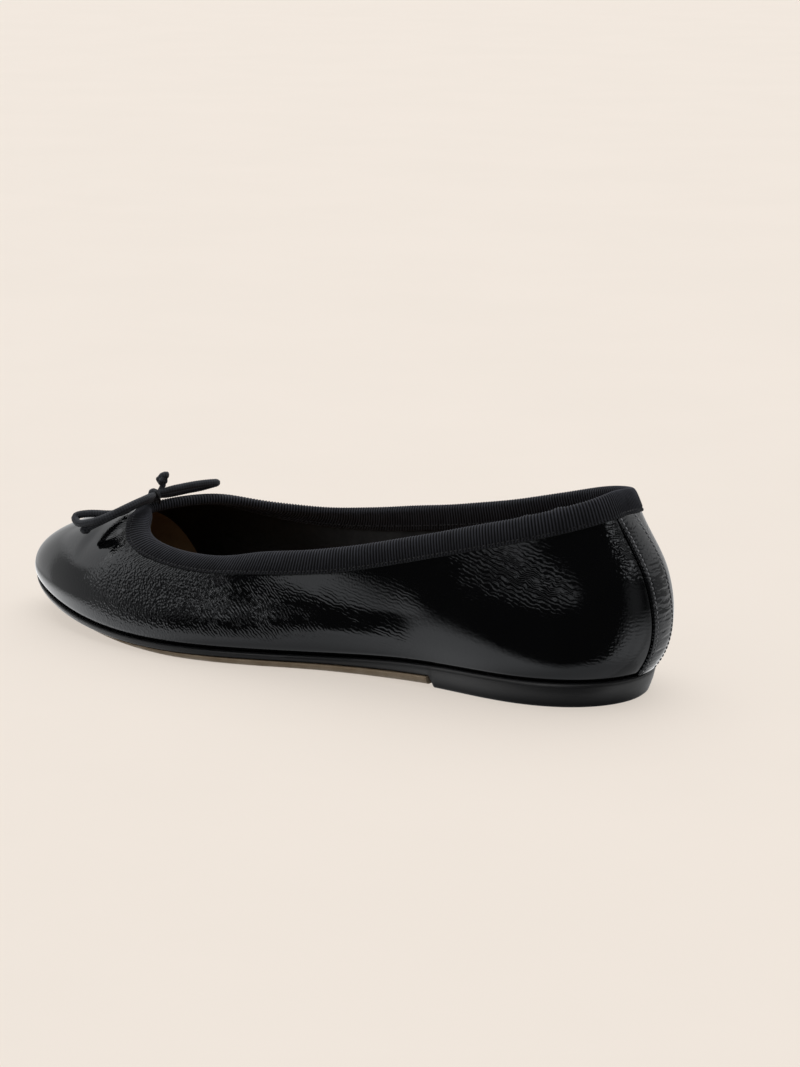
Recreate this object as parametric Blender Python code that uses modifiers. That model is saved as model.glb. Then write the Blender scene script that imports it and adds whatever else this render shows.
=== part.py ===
"""Left ballet flat with a topline binding and a cord bow, standing on z = 0: +X to the toe, +Y to the outer side."""

import bpy
import numpy as np

# Sizes are in millimetres and are scaled when a mesh is made.
MM = 0.001
LENGTH = 250.0  # heel bulge to toe tip
SOLE_LENGTH = 243.4  # the heel bulges out over the back of the sole
TOE = 125.3  # place of the toe tip, with the finished shoe centred on x = 0
TURNS = 84  # stations round the shoe, half of them on each side
GAP = 0.3  # between pieces that touch on the real shoe
WALL = 1.4  # upper and lining together
BREAST = 0.27  # front face of the heel, as a share of the sole's length

# The upper hangs on ribs that rise from the feather line (where it meets the sole) to the topline.
# along is a share of the sole's length from the heel, side is 1 for the outer side and -1 for the inner one.
# A rib leaves the feather line by low_flare outwards and low_rise up, and comes to the topline from
# high_flare outwards and high_drop below it.
RIB_COLUMNS = ("along", "side", "sole_half", "top_along", "top_half", "top_height",
               "low_rise", "low_flare", "high_flare", "high_drop")
RIBS = (
    (0.00, 1, 0.0, 0.060, 0.0, 69.3, 18.5, 16.0, 7.2, 14.7),
    (0.06, 1, 23.7, 0.079, 15.0, 67.9, 18.0, 9.2, 4.7, 15.0),
    (0.16, 1, 29.5, 0.152, 24.6, 62.4, 16.0, 6.2, 3.3, 14.0),
    (0.30, 1, 26.5, 0.293, 28.2, 52.8, 14.0, 5.0, 3.0, 12.0),
    (0.45, 1, 29.3, 0.427, 31.2, 44.5, 12.0, 5.0, 4.0, 10.0),
    (0.60, 1, 38.3, 0.540, 31.9, 39.7, 11.0, 4.0, 6.0, 8.0),
    (0.72, 1, 39.1, 0.617, 30.8, 36.0, 11.0, 3.0, 8.0, 6.0),
    (0.84, 1, 32.1, 0.719, 26.3, 37.0, 12.0, 3.1, 12.0, 4.0),
    (0.94, 1, 19.0, 0.760, 15.2, 41.5, 13.1, 3.2, 18.0, 3.0),
    (1.00, 1, -3.0, 0.782, 4.0, 42.8, 13.6, 3.3, 21.5, 3.4),
    (0.94, -1, 27.9, 0.729, 14.7, 43.4, 13.2, 3.5, 18.0, 3.0),
    (0.84, -1, 38.5, 0.682, 24.0, 41.3, 12.0, 3.0, 12.0, 4.0),
    (0.72, -1, 39.5, 0.611, 30.7, 40.2, 11.0, 3.0, 8.0, 6.0),
    (0.60, -1, 34.0, 0.533, 31.8, 41.8, 11.0, 4.0, 6.0, 8.0),
    (0.45, -1, 27.0, 0.424, 30.2, 46.2, 12.0, 5.0, 4.0, 10.0),
    (0.30, -1, 26.0, 0.290, 28.6, 52.4, 14.0, 5.0, 3.1, 12.0),
    (0.16, -1, 28.5, 0.147, 25.6, 61.6, 16.0, 6.0, 3.2, 14.0),
    (0.06, -1, 23.9, 0.077, 15.1, 66.0, 18.0, 10.0, 4.9, 15.0),
)

# Heights along the sole: where the upper sits, the underside of its black edge, and the tread below that.
FEATHER = ((0.0, 8.7), (0.30, 7.8), (0.45, 5.6), (0.60, 5.0), (0.74, 5.1), (0.86, 7.6), (1.0, 14.0))
EDGE_BOTTOM = ((BREAST, 4.3), (0.45, 2.9), (0.60, 2.5), (0.74, 2.7), (0.86, 5.4), (1.0, 12.0))
TREAD = ((BREAST, 1.1), (0.36, 0.5), (0.46, 0.2), (0.53, 0.0), (0.60, -0.2), (0.66, 0.0), (0.76, 1.2),
         (0.86, 4.2), (1.0, 10.8))
TREAD_INSET = ((0.0, 0.0), (0.70, 0.0), (0.85, 1.6), (1.0, 4.0))

# Edge sections: a share of the layer's height from its top, and how far it stands out from the feather line.
SOLE_EDGE = ((0.00, 0.2), (0.12, 0.7), (0.80, 0.5), (1.00, 0.0))
SOLE_INSET = ((0.0, 0.0), (0.80, 0.0), (0.92, 0.4), (1.0, 1.3))  # the upper hangs over the edge at the toe
HEEL_EDGE = ((0.00, 0.2), (0.12, 0.7), (0.84, -0.9), (1.00, -1.9))
OUTSOLE_EDGE = ((0.00, 0.0), (0.50, -0.4), (0.85, -1.1), (1.00, -2.0))
INSOLE_EDGE = ((0.00, -1.9), (0.30, -1.8), (1.00, -2.1))
INSOLE_THICK = 1.8

# Binding: a ribbon folded over the top edge. drop is measured down the rib from the fold, off outwards from the upper.
TOP_EDGE_DROP = 1.3
BINDING_COLUMNS = ("drop", "off")
BINDING = (
    (8.5, 0.75), (5.6, 0.95), (2.6, 0.95), (1.0, 0.85), (0.3, 0.2), (0.0, -0.7), (0.3, -1.6), (1.0, -2.25),
    (3.0, -2.35), (6.4, -2.35), (9.8, -2.2), (9.8, -1.75), (5.0, -1.75), (1.0, -1.75), (1.0, 0.35), (4.8, 0.35),
    (8.5, 0.35),
)

# Heel strip: wider at the top, where it also leans to the outer side. Shares run up from the feather line.
HEEL_STRIP_COLUMNS = ("share", "centre", "width")
HEEL_STRIP = ((0.0, 0.8, 12.2), (0.5, 0.9, 13.4), (1.0, 2.9, 15.0))
HEEL_STRIP_THICK = 0.8
HEEL_STRIP_DROP = 8.9  # starts just under the binding

# Bow: a thin cord that comes out of the binding at the throat. Routes run from the knot outwards.
CORD = 2.6  # diameter
KNOT_CENTRE = (71.8, 3.9, 46.6)
KNOT_RADII = (3.6, 3.6, 3.0)
CORD_ROUTES = {
    "bow_loop_outer": (
        (73.8, 7.9, 46.2), (75.8, 11.9, 45.0), (78.8, 16.4, 43.2), (83.8, 18.9, 42.2), (89.3, 19.9, 40.6),
        (93.0, 21.3, 39.0), (91.3, 22.6, 38.2), (86.8, 23.9, 38.6), (81.3, 24.4, 40.4), (76.8, 23.6, 42.4),
        (72.8, 21.4, 44.7), (69.8, 17.4, 46.6), (68.9, 12.4, 47.3), (69.7, 8.4, 47.2)),
    "bow_loop_inner": (
        (70.8, -1.2, 46.0), (68.8, -5.8, 46.1), (66.6, -10.2, 46.3), (63.8, -14.4, 46.6), (61.7, -17.2, 47.1),
        (59.7, -18.0, 47.7), (59.3, -15.8, 48.2), (60.4, -12.8, 48.4), (62.6, -8.2, 48.4), (65.2, -4.0, 48.0),
        (68.0, 0.2, 47.6)),
    "bow_end_outer": (
        (71.7, 7.9, 45.0), (71.2, 12.9, 44.8), (71.5, 17.4, 43.9), (74.3, 20.6, 41.9), (78.3, 22.2, 39.5),
        (83.3, 22.6, 37.1), (88.3, 22.1, 35.3)),
    "bow_end_inner": ((70.4, 0.6, 50.2), (70.9, 0.9, 51.4), (70.3, 0.6, 52.7), (68.2, -0.4, 53.1)),
}

COLOURS = {  # linear colour and roughness
    "patent": ((0.012, 0.012, 0.014), 0.12),
    "ribbon": ((0.018, 0.018, 0.020), 0.75),
    "sole_edge": ((0.020, 0.020, 0.021), 0.45),
    "outsole": ((0.230, 0.165, 0.110), 0.60),
    "insole": ((0.300, 0.130, 0.055), 0.55),
    "cord": ((0.016, 0.016, 0.018), 0.80),
}


def spline(points, period=None):
    """A smooth curve through (position, value) points: round and round with a period, else with straight ends."""
    x, y = np.array(points, float).T
    if period:
        x, y = np.append(x, x[0] + period), np.append(y, y[0])
    step, slope = np.diff(x), np.diff(y) / np.diff(x)
    last = len(x) - 1
    rows, sums = np.eye(last + 1), np.zeros(last + 1)
    for i in range(1, last):
        rows[i, i - 1:i + 2] = step[i - 1], 2 * (step[i - 1] + step[i]), step[i]
        sums[i] = 6 * (slope[i] - slope[i - 1])
    if period:
        rows[0, last] = -1
        rows[last, [1, last - 1, last]] = step[0], step[-1], 2 * (step[0] + step[-1])
        sums[last] = 6 * (slope[0] - slope[-1])
    bend = np.linalg.solve(rows, sums)

    def value(at):
        at = np.asarray(at, float)
        at = x[0] + np.mod(at - x[0], period) if period else np.clip(at, x[0], x[last])
        i = np.clip(np.searchsorted(x, at, side="right") - 1, 0, last - 1)
        b = (at - x[i]) / step[i]
        a = 1 - b
        return a * y[i] + b * y[i + 1] + ((a**3 - a) * bend[i] + (b**3 - b) * bend[i + 1]) * step[i]**2 / 6

    return value


def turn_at(along, side=1):
    """How far round the shoe a station is: 0 at the heel, 0.5 at the toe, the outer side first."""
    turn = np.arccos(1 - 2 * np.asarray(along, float)) / (2 * np.pi)
    return np.where(np.asarray(side) < 0, 1 - turn, turn)


def along_at(turn):
    return (1 - np.cos(2 * np.pi * np.asarray(turn, float))) / 2


def rib_curves():
    table = dict(zip(RIB_COLUMNS, np.array(RIBS).T))
    turns = turn_at(table["along"], table["side"])
    table["sole_half"] = table["sole_half"] * table["side"]
    table["top_half"] = table["top_half"] * table["side"]
    return {name: spline(list(zip(turns, table[name])), period=1) for name in RIB_COLUMNS[2:]}


RIB = rib_curves()
FEATHER_HEIGHT = spline(FEATHER)
EDGE_BOTTOM_HEIGHT = spline(EDGE_BOTTOM)
TREAD_HEIGHT = spline(TREAD)


def feather_line(turn):
    along = along_at(turn)
    return np.stack([TOE - SOLE_LENGTH * (1 - along), RIB["sole_half"](turn), FEATHER_HEIGHT(along)], -1)


def outward(turn):
    """Level direction out of the sole's edge."""
    turn = np.asarray(turn, float)
    run = feather_line(turn + 1e-4) - feather_line(turn - 1e-4)
    out = np.stack([-run[..., 1], run[..., 0], 0 * run[..., 0]], -1)
    return out / np.linalg.norm(out, axis=-1, keepdims=True)


def rib(turn, rise):
    """Point of the upper's outside: rise is 0 at the feather line and 1 at the topline's fold."""
    turn, rise = np.broadcast_arrays(np.asarray(turn, float), np.asarray(rise, float))
    out, up = outward(turn), np.array([0.0, 0.0, 1.0])
    foot = feather_line(turn)
    top = np.stack([TOE - LENGTH * (1 - RIB["top_along"](turn)), RIB["top_half"](turn), RIB["top_height"](turn)], -1)
    low = foot + out * RIB["low_flare"](turn)[..., None] + up * RIB["low_rise"](turn)[..., None]
    high = top + out * RIB["high_flare"](turn)[..., None] - up * RIB["high_drop"](turn)[..., None]
    b = rise[..., None]
    a = 1 - b
    return a**3 * foot + 3 * a**2 * b * low + 3 * a * b**2 * high + b**3 * top


def skin(turn, rise, off=0.0):
    """Point at a distance outside (or, below zero, inside) the upper's outer face."""
    turn, rise, off = np.broadcast_arrays(*(np.asarray(value, float) for value in (turn, rise, off)))
    across = rib(turn + 1e-4, rise) - rib(turn - 1e-4, rise)
    climb = rib(turn, rise + 1e-4) - rib(turn, rise - 1e-4)
    normal = np.cross(climb, across)
    return rib(turn, rise) + off[..., None] * normal / np.linalg.norm(normal, axis=-1, keepdims=True)


def rise_at(turn, drop):
    """The rise that lies a distance down the rib from the topline's fold."""
    rises = np.linspace(1, 0, 121)
    points = rib(turn, rises)
    fall = np.append(0, np.cumsum(np.linalg.norm(np.diff(points, axis=0), axis=1)))
    return np.interp(drop, fall, rises)


def material(name):
    colour, roughness = COLOURS[name]
    made = bpy.data.materials.new(name)
    made.use_nodes = True
    shader = made.node_tree.nodes["Principled BSDF"]
    shader.inputs["Base Color"].default_value = (*colour, 1)
    shader.inputs["Roughness"].default_value = roughness
    made.diffuse_color = (*colour, 1)
    return made


def add(name, data, collection, finish):
    data.materials.append(finish)
    piece = bpy.data.objects.new(name, data)
    collection.objects.link(piece)
    return piece


def loft(name, sections, around=True, along=True):
    """Mesh over rows of points: around closes each row, along closes the last row to the first."""
    sections = np.asarray(sections, float)
    rows, columns = sections.shape[:2]
    faces = []
    for i in range(rows if along else rows - 1):
        for j in range(columns if around else columns - 1):
            i2, j2 = (i + 1) % rows, (j + 1) % columns
            faces.append((i * columns + j, i * columns + j2, i2 * columns + j2, i2 * columns + j))
    mesh = bpy.data.meshes.new(name)
    mesh.from_pydata((sections.reshape(-1, 3) * MM).tolist(), [], faces)
    mesh.shade_smooth()
    return mesh


def edge_ring(alongs, out, height):
    """Points round a layer of the sole, the outer side first and then the inner side back to the start."""
    sides = []
    for side in (1, -1):
        turn = turn_at(alongs, side)
        point = feather_line(turn) + outward(turn) * np.broadcast_to(out, alongs.shape)[:, None]
        point[:, 2] = height(1 - (TOE - point[:, 0]) / SOLE_LENGTH)
        sides.append(point)
    start = 0 if alongs[0] > 0 else 1
    stop = len(alongs) if alongs[-1] < 1 else len(alongs) - 1
    return np.concatenate([sides[0], sides[1][start:stop][::-1]])


def between(top, bottom, share):
    """Height function a share of the way down from one height function to another."""
    return lambda along: top(along) + (bottom(along) - top(along)) * share


def slab(name, alongs, rings):
    """Closed layer: rings from its top to its bottom, with both faces made of strips from side to side."""
    count = len(rings[0])
    mesh = loft(name, rings, around=True, along=False)
    points = [tuple(vertex.co) for vertex in mesh.vertices]
    faces = [tuple(face.vertices) for face in mesh.polygons]
    stations = len(alongs)
    lateral = list(range(stations))
    medial = [(count - i) % count if alongs[0] <= 0 else count - 1 - i for i in range(stations)]
    if alongs[-1] >= 1:
        medial[-1] = lateral[-1]
    for level, flip in ((0, True), (len(rings) - 1, False)):
        start = level * count
        for i in range(stations - 1):
            strip = [lateral[i], lateral[i + 1], medial[i + 1], medial[i]]
            strip = [start + k for n, k in enumerate(strip) if k not in strip[:n]]
            faces.append(tuple(reversed(strip) if flip else strip))
    mesh.clear_geometry()
    mesh.from_pydata(points, [], faces)
    mesh.shade_smooth()
    mesh.set_sharp_from_angle(angle=0.6)
    return mesh


def make_upper():
    stations = []
    for turn in np.arange(TURNS) / TURNS:
        top = rise_at(turn, np.array([TOP_EDGE_DROP, 4.6, 8.5]))
        rises = np.concatenate([np.linspace(0, top[2], 9), top[1::-1]])
        stations.append(skin(turn, rises))
    return loft("upper", stations, around=False, along=True)


def make_binding():
    drops, offs = np.array(BINDING).T
    stations = [skin(turn, rise_at(turn, drops), offs) for turn in np.arange(TURNS) / TURNS]
    return loft("topline_binding", stations)


def make_heel_strip():
    rises = np.linspace(0.03, rise_at(0.0, HEEL_STRIP_DROP), 13)
    rows = []
    shares, centres, widths = np.array(HEEL_STRIP).T
    for rise, share in zip(rises, np.linspace(0, 1, len(rises))):
        per_turn = np.linalg.norm(rib(1e-3, rise) - rib(-1e-3, rise)) / 2e-3
        centre, width = (spline(list(zip(shares, column)))(share) for column in (centres, widths))
        turns = (centre + np.linspace(0.5, -0.5, 7) * width) / per_turn
        rows.append(skin(turns, rise, GAP + HEEL_STRIP_THICK))
    return loft("heel_strip", rows, around=False, along=False)


def sole_stations():
    return along_at(np.arange(TURNS // 2 + 1) / TURNS)


def sole_top(along):
    return FEATHER_HEIGHT(along) - GAP


def tread(along):
    return np.maximum(TREAD_HEIGHT(along), 0.0)


def make_sole():
    alongs = sole_stations()
    lean = 0.5 / SOLE_LENGTH  # the heel's front face leans by a millimetre
    split = np.searchsorted(alongs, BREAST)
    alongs = np.insert(alongs, split, [BREAST - lean, BREAST + lean])
    heel = alongs < BREAST
    inset = spline(SOLE_INSET)(alongs)
    rings = []
    for (share, out), (heel_share, heel_out) in zip(SOLE_EDGE, HEEL_EDGE):
        rings.append(edge_ring(
            alongs, np.where(heel, heel_out, out - inset),
            between(sole_top, lambda along: np.where(heel, 0.0, EDGE_BOTTOM_HEIGHT(along)),
                    np.where(heel, heel_share, share))))
    return slab("sole", alongs, rings)


def make_outsole():
    alongs = sole_stations()
    start = BREAST + 1.2 / SOLE_LENGTH
    alongs = np.append(start, alongs[alongs > start + 0.005])
    inset = spline(TREAD_INSET)(alongs)
    rings = [edge_ring(alongs, out - inset, between(lambda along: EDGE_BOTTOM_HEIGHT(along) - GAP, tread, share))
             for share, out in OUTSOLE_EDGE]
    return slab("outsole", alongs, rings)


def make_insole():
    alongs = sole_stations()
    rings = [edge_ring(alongs, out, between(lambda along: FEATHER_HEIGHT(along) + INSOLE_THICK, FEATHER_HEIGHT, share))
             for share, out in INSOLE_EDGE]
    return slab("insole", alongs, rings)


def solidify(piece, thickness):
    wall = piece.modifiers.new("wall", "SOLIDIFY")
    wall.thickness = thickness * MM
    wall.offset = -1
    wall.use_even_offset = True


def make_cord(name, route):
    """Round cord along a smooth curve through its route."""
    route = np.array(route, float)
    run = np.append(0, np.cumsum(np.linalg.norm(np.diff(route, axis=0), axis=1)))
    at = np.linspace(0, run[-1], max(4, round(run[-1] / CORD) + 1))
    points = np.stack([spline(list(zip(run, column)))(at) for column in route.T], -1)
    curve = bpy.data.curves.new(name, "CURVE")
    curve.dimensions = "3D"
    curve.bevel_depth = CORD / 2 * MM
    curve.bevel_resolution = 2
    curve.use_fill_caps = True
    line = curve.splines.new("POLY")
    line.points.add(len(points) - 1)
    for place, point in zip(line.points, points * MM):
        place.co = (*point, 1)
    return curve


def make_knot():
    bpy.ops.mesh.primitive_uv_sphere_add(segments=16, ring_count=10, radius=1)
    ball = bpy.context.object
    ball.scale = np.array(KNOT_RADII) * MM
    ball.location = np.array(KNOT_CENTRE) * MM
    bpy.ops.object.transform_apply(location=True, rotation=True, scale=True)
    mesh = ball.data
    mesh.name = "bow_knot"
    bpy.data.objects.remove(ball, do_unlink=True)
    mesh.shade_smooth()
    return mesh


def build():
    for old in list(bpy.data.objects):
        bpy.data.objects.remove(old, do_unlink=True)
    shoe = bpy.data.collections.new("ballet_flat")
    bpy.context.scene.collection.children.link(shoe)
    finish = {name: material(name) for name in COLOURS}

    upper = add("upper", make_upper(), shoe, finish["patent"])
    solidify(upper, WALL)
    add("topline_binding", make_binding(), shoe, finish["ribbon"])
    strip = add("heel_strip", make_heel_strip(), shoe, finish["patent"])
    solidify(strip, HEEL_STRIP_THICK)
    add("sole", make_sole(), shoe, finish["sole_edge"])
    add("outsole", make_outsole(), shoe, finish["outsole"])
    add("insole", make_insole(), shoe, finish["insole"])
    add("bow_knot", make_knot(), shoe, finish["cord"])
    for name, route in CORD_ROUTES.items():
        add(name, make_cord(name, route), shoe, finish["cord"])


build()
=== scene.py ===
# %% [markdown]
# # A black patent ballet flat
# This lesson dresses the measured solids of a left ballet flat: the toe points along +X, the outer side
# of the foot is +Y, and the floor is z = 0. Each piece is laid over its solid and then gets its own
# finish.

# %% The measured solids
import math

import bpy
import numpy as np
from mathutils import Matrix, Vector


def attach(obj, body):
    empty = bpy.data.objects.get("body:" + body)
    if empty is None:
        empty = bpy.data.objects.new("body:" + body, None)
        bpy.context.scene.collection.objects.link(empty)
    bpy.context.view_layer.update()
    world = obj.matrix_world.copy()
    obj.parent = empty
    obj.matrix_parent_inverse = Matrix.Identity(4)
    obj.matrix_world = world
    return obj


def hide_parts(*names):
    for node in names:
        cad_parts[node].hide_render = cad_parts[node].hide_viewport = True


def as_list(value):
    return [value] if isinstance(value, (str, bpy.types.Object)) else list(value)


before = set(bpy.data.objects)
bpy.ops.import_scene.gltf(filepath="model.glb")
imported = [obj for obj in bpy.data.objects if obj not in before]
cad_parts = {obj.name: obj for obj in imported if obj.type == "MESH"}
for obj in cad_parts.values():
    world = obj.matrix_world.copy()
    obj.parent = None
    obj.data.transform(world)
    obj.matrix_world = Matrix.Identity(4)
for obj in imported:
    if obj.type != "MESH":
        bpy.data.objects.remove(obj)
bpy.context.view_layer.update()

MM = 0.001  # the tables below are in millimetres
MERGE = 1e-7  # metres; points nearer than this are one
bpy.ops.object.select_all(action="DESELECT")
print("solids:", ", ".join(sorted(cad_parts)))

# %% [markdown]
# ## The camera
# The shoe is seen from behind its outer side, a little from above, through a long lens. The angles and
# the lens were solved from the level lines of the sole, so the camera is placed by numbers and not by
# eye.

# %% Camera
PHOTO_HEIGHT = 1067  # pixels, the long side of an 800 x 1067 picture
FOCAL_PIXELS = 2640.85
VIEW_TURN, VIEW_DROP = math.radians(29.121), math.radians(14.259)
VIEW_TARGET = Vector((-25.994, 0.0, 43.478)) * MM
VIEW_DISTANCE = 895.963 * MM
SENSOR = 36.0

look = Vector((math.sin(VIEW_TURN) * math.cos(VIEW_DROP), -math.cos(VIEW_TURN) * math.cos(VIEW_DROP),
               -math.sin(VIEW_DROP)))
bpy.ops.object.camera_add(location=VIEW_TARGET - look * VIEW_DISTANCE,
                          rotation=look.to_track_quat("-Z", "Y").to_euler())
camera = bpy.context.object
camera.data.sensor_width = SENSOR
camera.data.lens = FOCAL_PIXELS / PHOTO_HEIGHT * SENSOR
bpy.context.scene.camera = camera
print(f"camera with a {camera.data.lens:.1f} mm lens, {VIEW_DISTANCE:.2f} m from the shoe")

# %% [markdown]
# ## Laying a grid
# Most of a shoe is sheet material pulled over a last, so most pieces here start as a flat grid whose
# points are laid on a net of places. Extruding by hand could not follow these double curves closely
# enough for a glossy surface. The grid keeps its rows and columns, so it also carries a clean UV map, in
# metres.


# %% Grid helper
def lay_grid(name, net, masks=None):
    """A grid laid on net[row][column], in millimetres. Rows, columns and poles that meet are merged."""
    net = np.asarray(net, float)
    rows, columns = net.shape[:2]
    bpy.ops.object.select_all(action="DESELECT")
    bpy.ops.mesh.primitive_grid_add(x_subdivisions=columns - 1, y_subdivisions=rows - 1, size=1)
    piece = bpy.context.object
    piece.name = piece.data.name = name
    piece.data.vertices.foreach_set("co", (net * MM).ravel())
    for mask, values in (masks or {}).items():
        piece.data.attributes.new(mask, "FLOAT", "POINT").data.foreach_set("value", np.ravel(values))
    along, across = (np.linalg.norm(np.diff(net, axis=axis), axis=2).mean(axis=1 - axis) for axis in (0, 1))
    uv = np.stack(np.meshgrid(np.append(0, np.cumsum(across)), np.append(0, np.cumsum(along))), -1) * MM
    corners = np.empty(len(piece.data.loops), int)
    piece.data.loops.foreach_get("vertex_index", corners)
    piece.data.uv_layers[0].data.foreach_set("uv", uv.reshape(-1, 2)[corners].ravel())
    bpy.ops.object.mode_set(mode="EDIT")
    bpy.ops.mesh.select_all(action="SELECT")
    bpy.ops.mesh.remove_doubles(threshold=MERGE)
    bpy.ops.mesh.normals_make_consistent(inside=False)
    bpy.ops.object.mode_set(mode="OBJECT")
    bpy.ops.object.shade_smooth()
    return piece


def settle(piece, slot, *nodes):
    """Fixes a finished piece to the shoe, in place of the solids it stands for."""
    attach(piece, "root")
    if nodes:
        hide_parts(*nodes)
    piece.data.calc_loop_triangles()
    print(f"{piece.name}: {len(piece.data.loop_triangles)} triangles")


def ease(value, low, high):
    """0 below low and 1 above high, with a soft step between."""
    share = np.clip((np.asarray(value, float) - low) / (high - low), 0, 1)
    return share * share * (3 - 2 * share)


print("pieces are laid from grids")

# %% [markdown]
# ## The bow's cord
# The bow is tied in a thin braided cord that comes out of the binding at the throat. Each loop is a
# short, limp cord from the knot and back to it. A bevelled curve would be quicker, but a tube laid on
# rings can carry the diamond relief of the braid, so the cord still looks braided from near.

# %% A smooth curve through points
CORD = 2.6  # diameter
BRAID_PITCH = 1.9
BRAID_RELIEF = 0.09
STRANDS = 4  # that cross each way in the braid
RING_STEP = 0.24
CORD_SIDES = 20


def spline(points, period=None):
    """A smooth curve through (position, value) points: round and round with a period, else open."""
    x, y = np.array(points, float).T
    if period:
        x, y = np.append(x, x[0] + period), np.append(y, y[0])
    step, slope = np.diff(x), np.diff(y) / np.diff(x)
    last = len(x) - 1
    rows, sums = np.eye(last + 1), np.zeros(last + 1)
    for i in range(1, last):
        rows[i, i - 1:i + 2] = step[i - 1], 2 * (step[i - 1] + step[i]), step[i]
        sums[i] = 6 * (slope[i] - slope[i - 1])
    if period:
        rows[0, last] = -1
        rows[last, [1, last - 1, last]] = step[0], step[-1], 2 * (step[0] + step[-1])
        sums[last] = 6 * (slope[0] - slope[-1])
    bend = np.linalg.solve(rows, sums)

    def value(at):
        at = np.asarray(at, float)
        at = x[0] + np.mod(at - x[0], period) if period else np.clip(at, x[0], x[last])
        i = np.clip(np.searchsorted(x, at, side="right") - 1, 0, last - 1)
        b = (at - x[i]) / step[i]
        a = 1 - b
        return a * y[i] + b * y[i + 1] + ((a**3 - a) * bend[i] + (b**3 - b) * bend[i + 1]) * step[i]**2 / 6

    return value


def run_of(path):
    """Distance along a path at each of its points."""
    return np.append(0, np.cumsum(np.linalg.norm(np.diff(path, axis=0), axis=1)))


def smooth_path(route, step=RING_STEP):
    """Points about a step apart on a smooth curve through the route."""
    route = np.array(route, float)
    run = run_of(route)
    at = np.linspace(0, run[-1], max(6, round(run[-1] / step) + 1))
    return np.stack([spline(list(zip(run, column)))(at) for column in route.T], -1)


# %% Braided tube
PINCH, PINCH_REACH = 0.32, 3.5  # the knot squeezes the cord by this share, over this distance
CAP, BLUNT = 0.9, 0.12  # length of a rounded end, and how blunt it is


def lay_cord(name, path, radius, pinched=(), braid=BRAID_RELIEF):
    """A round cord with rounded ends, squeezed at the pinched ends, its braid raised in diamonds."""
    run = run_of(path)
    ahead = np.gradient(path, axis=0)
    ahead /= np.linalg.norm(ahead, axis=1, keepdims=True)
    side = np.cross(ahead[0], (0.3, 0.2, 1.0))
    angles = np.linspace(0, 2 * np.pi, CORD_SIDES + 1)
    rings, reliefs = [np.repeat(path[:1], CORD_SIDES + 1, axis=0)], [0 * angles]
    for place, direction, s in zip(path, ahead, run):
        side = side - direction * (side @ direction)
        side /= np.linalg.norm(side)
        up = np.cross(direction, side)
        squeeze = [1 - PINCH * math.exp(-((s - run[end]) / PINCH_REACH)**2) for end in pinched]
        size = radius * np.prod(squeeze)
        size *= math.sqrt(1 - (1 - min(1, min(s, run[-1] - s) / CAP + BLUNT))**2)
        wave = 2 * np.pi * s / BRAID_PITCH
        relief = np.cos(STRANDS * angles + wave) * np.cos(STRANDS * angles - wave)
        out = (size * (1 + braid / radius * relief))[:, None]
        rings.append(place + out * (np.outer(np.cos(angles), side) + np.outer(np.sin(angles), up)))
        reliefs.append(relief)
    rings.append(np.repeat(path[-1:], CORD_SIDES + 1, axis=0))
    reliefs.append(0 * angles)
    # painted shade: the braid mask is low in the braid's hollows, which the cord's finish paints dark
    return lay_grid(name, rings, masks={"braid": 0.5 + 0.5 * np.array(reliefs)})


# %% Loops and ends
KNOT = (71.8, 3.9, 46.3)
BOW_ROUTES = {
    "bow_loop_outer": (
        (72.4, 4.6, 46.2), (73.8, 7.9, 45.0), (75.8, 11.9, 43.3), (78.7, 16.7, 41.6), (83.3, 19.7, 41.5),
        (88.3, 21.8, 41.4), (91.5, 24.3, 40.4), (89.4, 26.3, 39.2), (84.7, 27.7, 39.7), (79.3, 28.0, 41.4),
        (75.1, 26.6, 43.3), (71.6, 23.6, 45.3), (69.1, 18.6, 46.9), (68.6, 12.9, 47.4), (69.6, 8.6, 47.2),
        (71.2, 4.9, 46.8)),
    "bow_loop_inner": (
        (71.9, 3.0, 45.9), (70.8, -1.2, 45.6), (68.8, -5.8, 45.7), (66.6, -10.2, 46.0), (63.8, -14.4, 46.4),
        (61.7, -17.2, 47.0), (59.7, -18.0, 47.7), (59.3, -15.8, 48.3), (60.4, -12.8, 48.6),
        (62.6, -8.2, 48.7), (65.2, -4.0, 48.4), (68.0, 0.2, 47.9), (71.0, 3.4, 47.0)),
    "bow_end_outer": (
        (71.9, 4.0, 45.2), (70.6, 8.5, 45.9), (70.2, 12.4, 46.2), (70.6, 16.3, 46.0), (72.9, 21.1, 44.4),
        (76.4, 24.2, 42.3), (80.6, 25.5, 40.0), (84.0, 26.0, 38.2), (86.3, 26.2, 36.8)),
    "bow_end_inner": ((70.9, 2.4, 47.2), (70.4, 0.6, 50.2), (70.9, 0.9, 51.4), (70.3, 0.6, 52.7),
                      (68.2, -0.4, 53.1)),
}

bow, bow_paths = {}, {}
for name, route in BOW_ROUTES.items():
    bow_paths[name] = smooth_path(route)
    pinched = (0, -1) if "loop" in name else (0,)
    bow[name] = lay_cord(name + "_cord", bow_paths[name], CORD / 2, pinched)
    settle(bow[name], "cord", name)

# %% [markdown]
# ## The knots
# A small bow is held by a turn and a half of the cord round the pinched loops, and each free end is
# stopped by an overhand knot. The turn is a tube on a short spiral about the bow's own axis, and an
# overhand knot follows the curve of a trefoil, so both carry the braid. A thin tack holds the bow down to
# the binding.

# %% Knots
KNOT_AXIS = Vector((0.28, 0.95, -0.11)).normalized()
KNOT_TURNS, KNOT_RADIUS, KNOT_WIDTH, KNOT_CORD = 1.6, 1.35, 2.0, 1.15
KNOT_POINTS = 60
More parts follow.
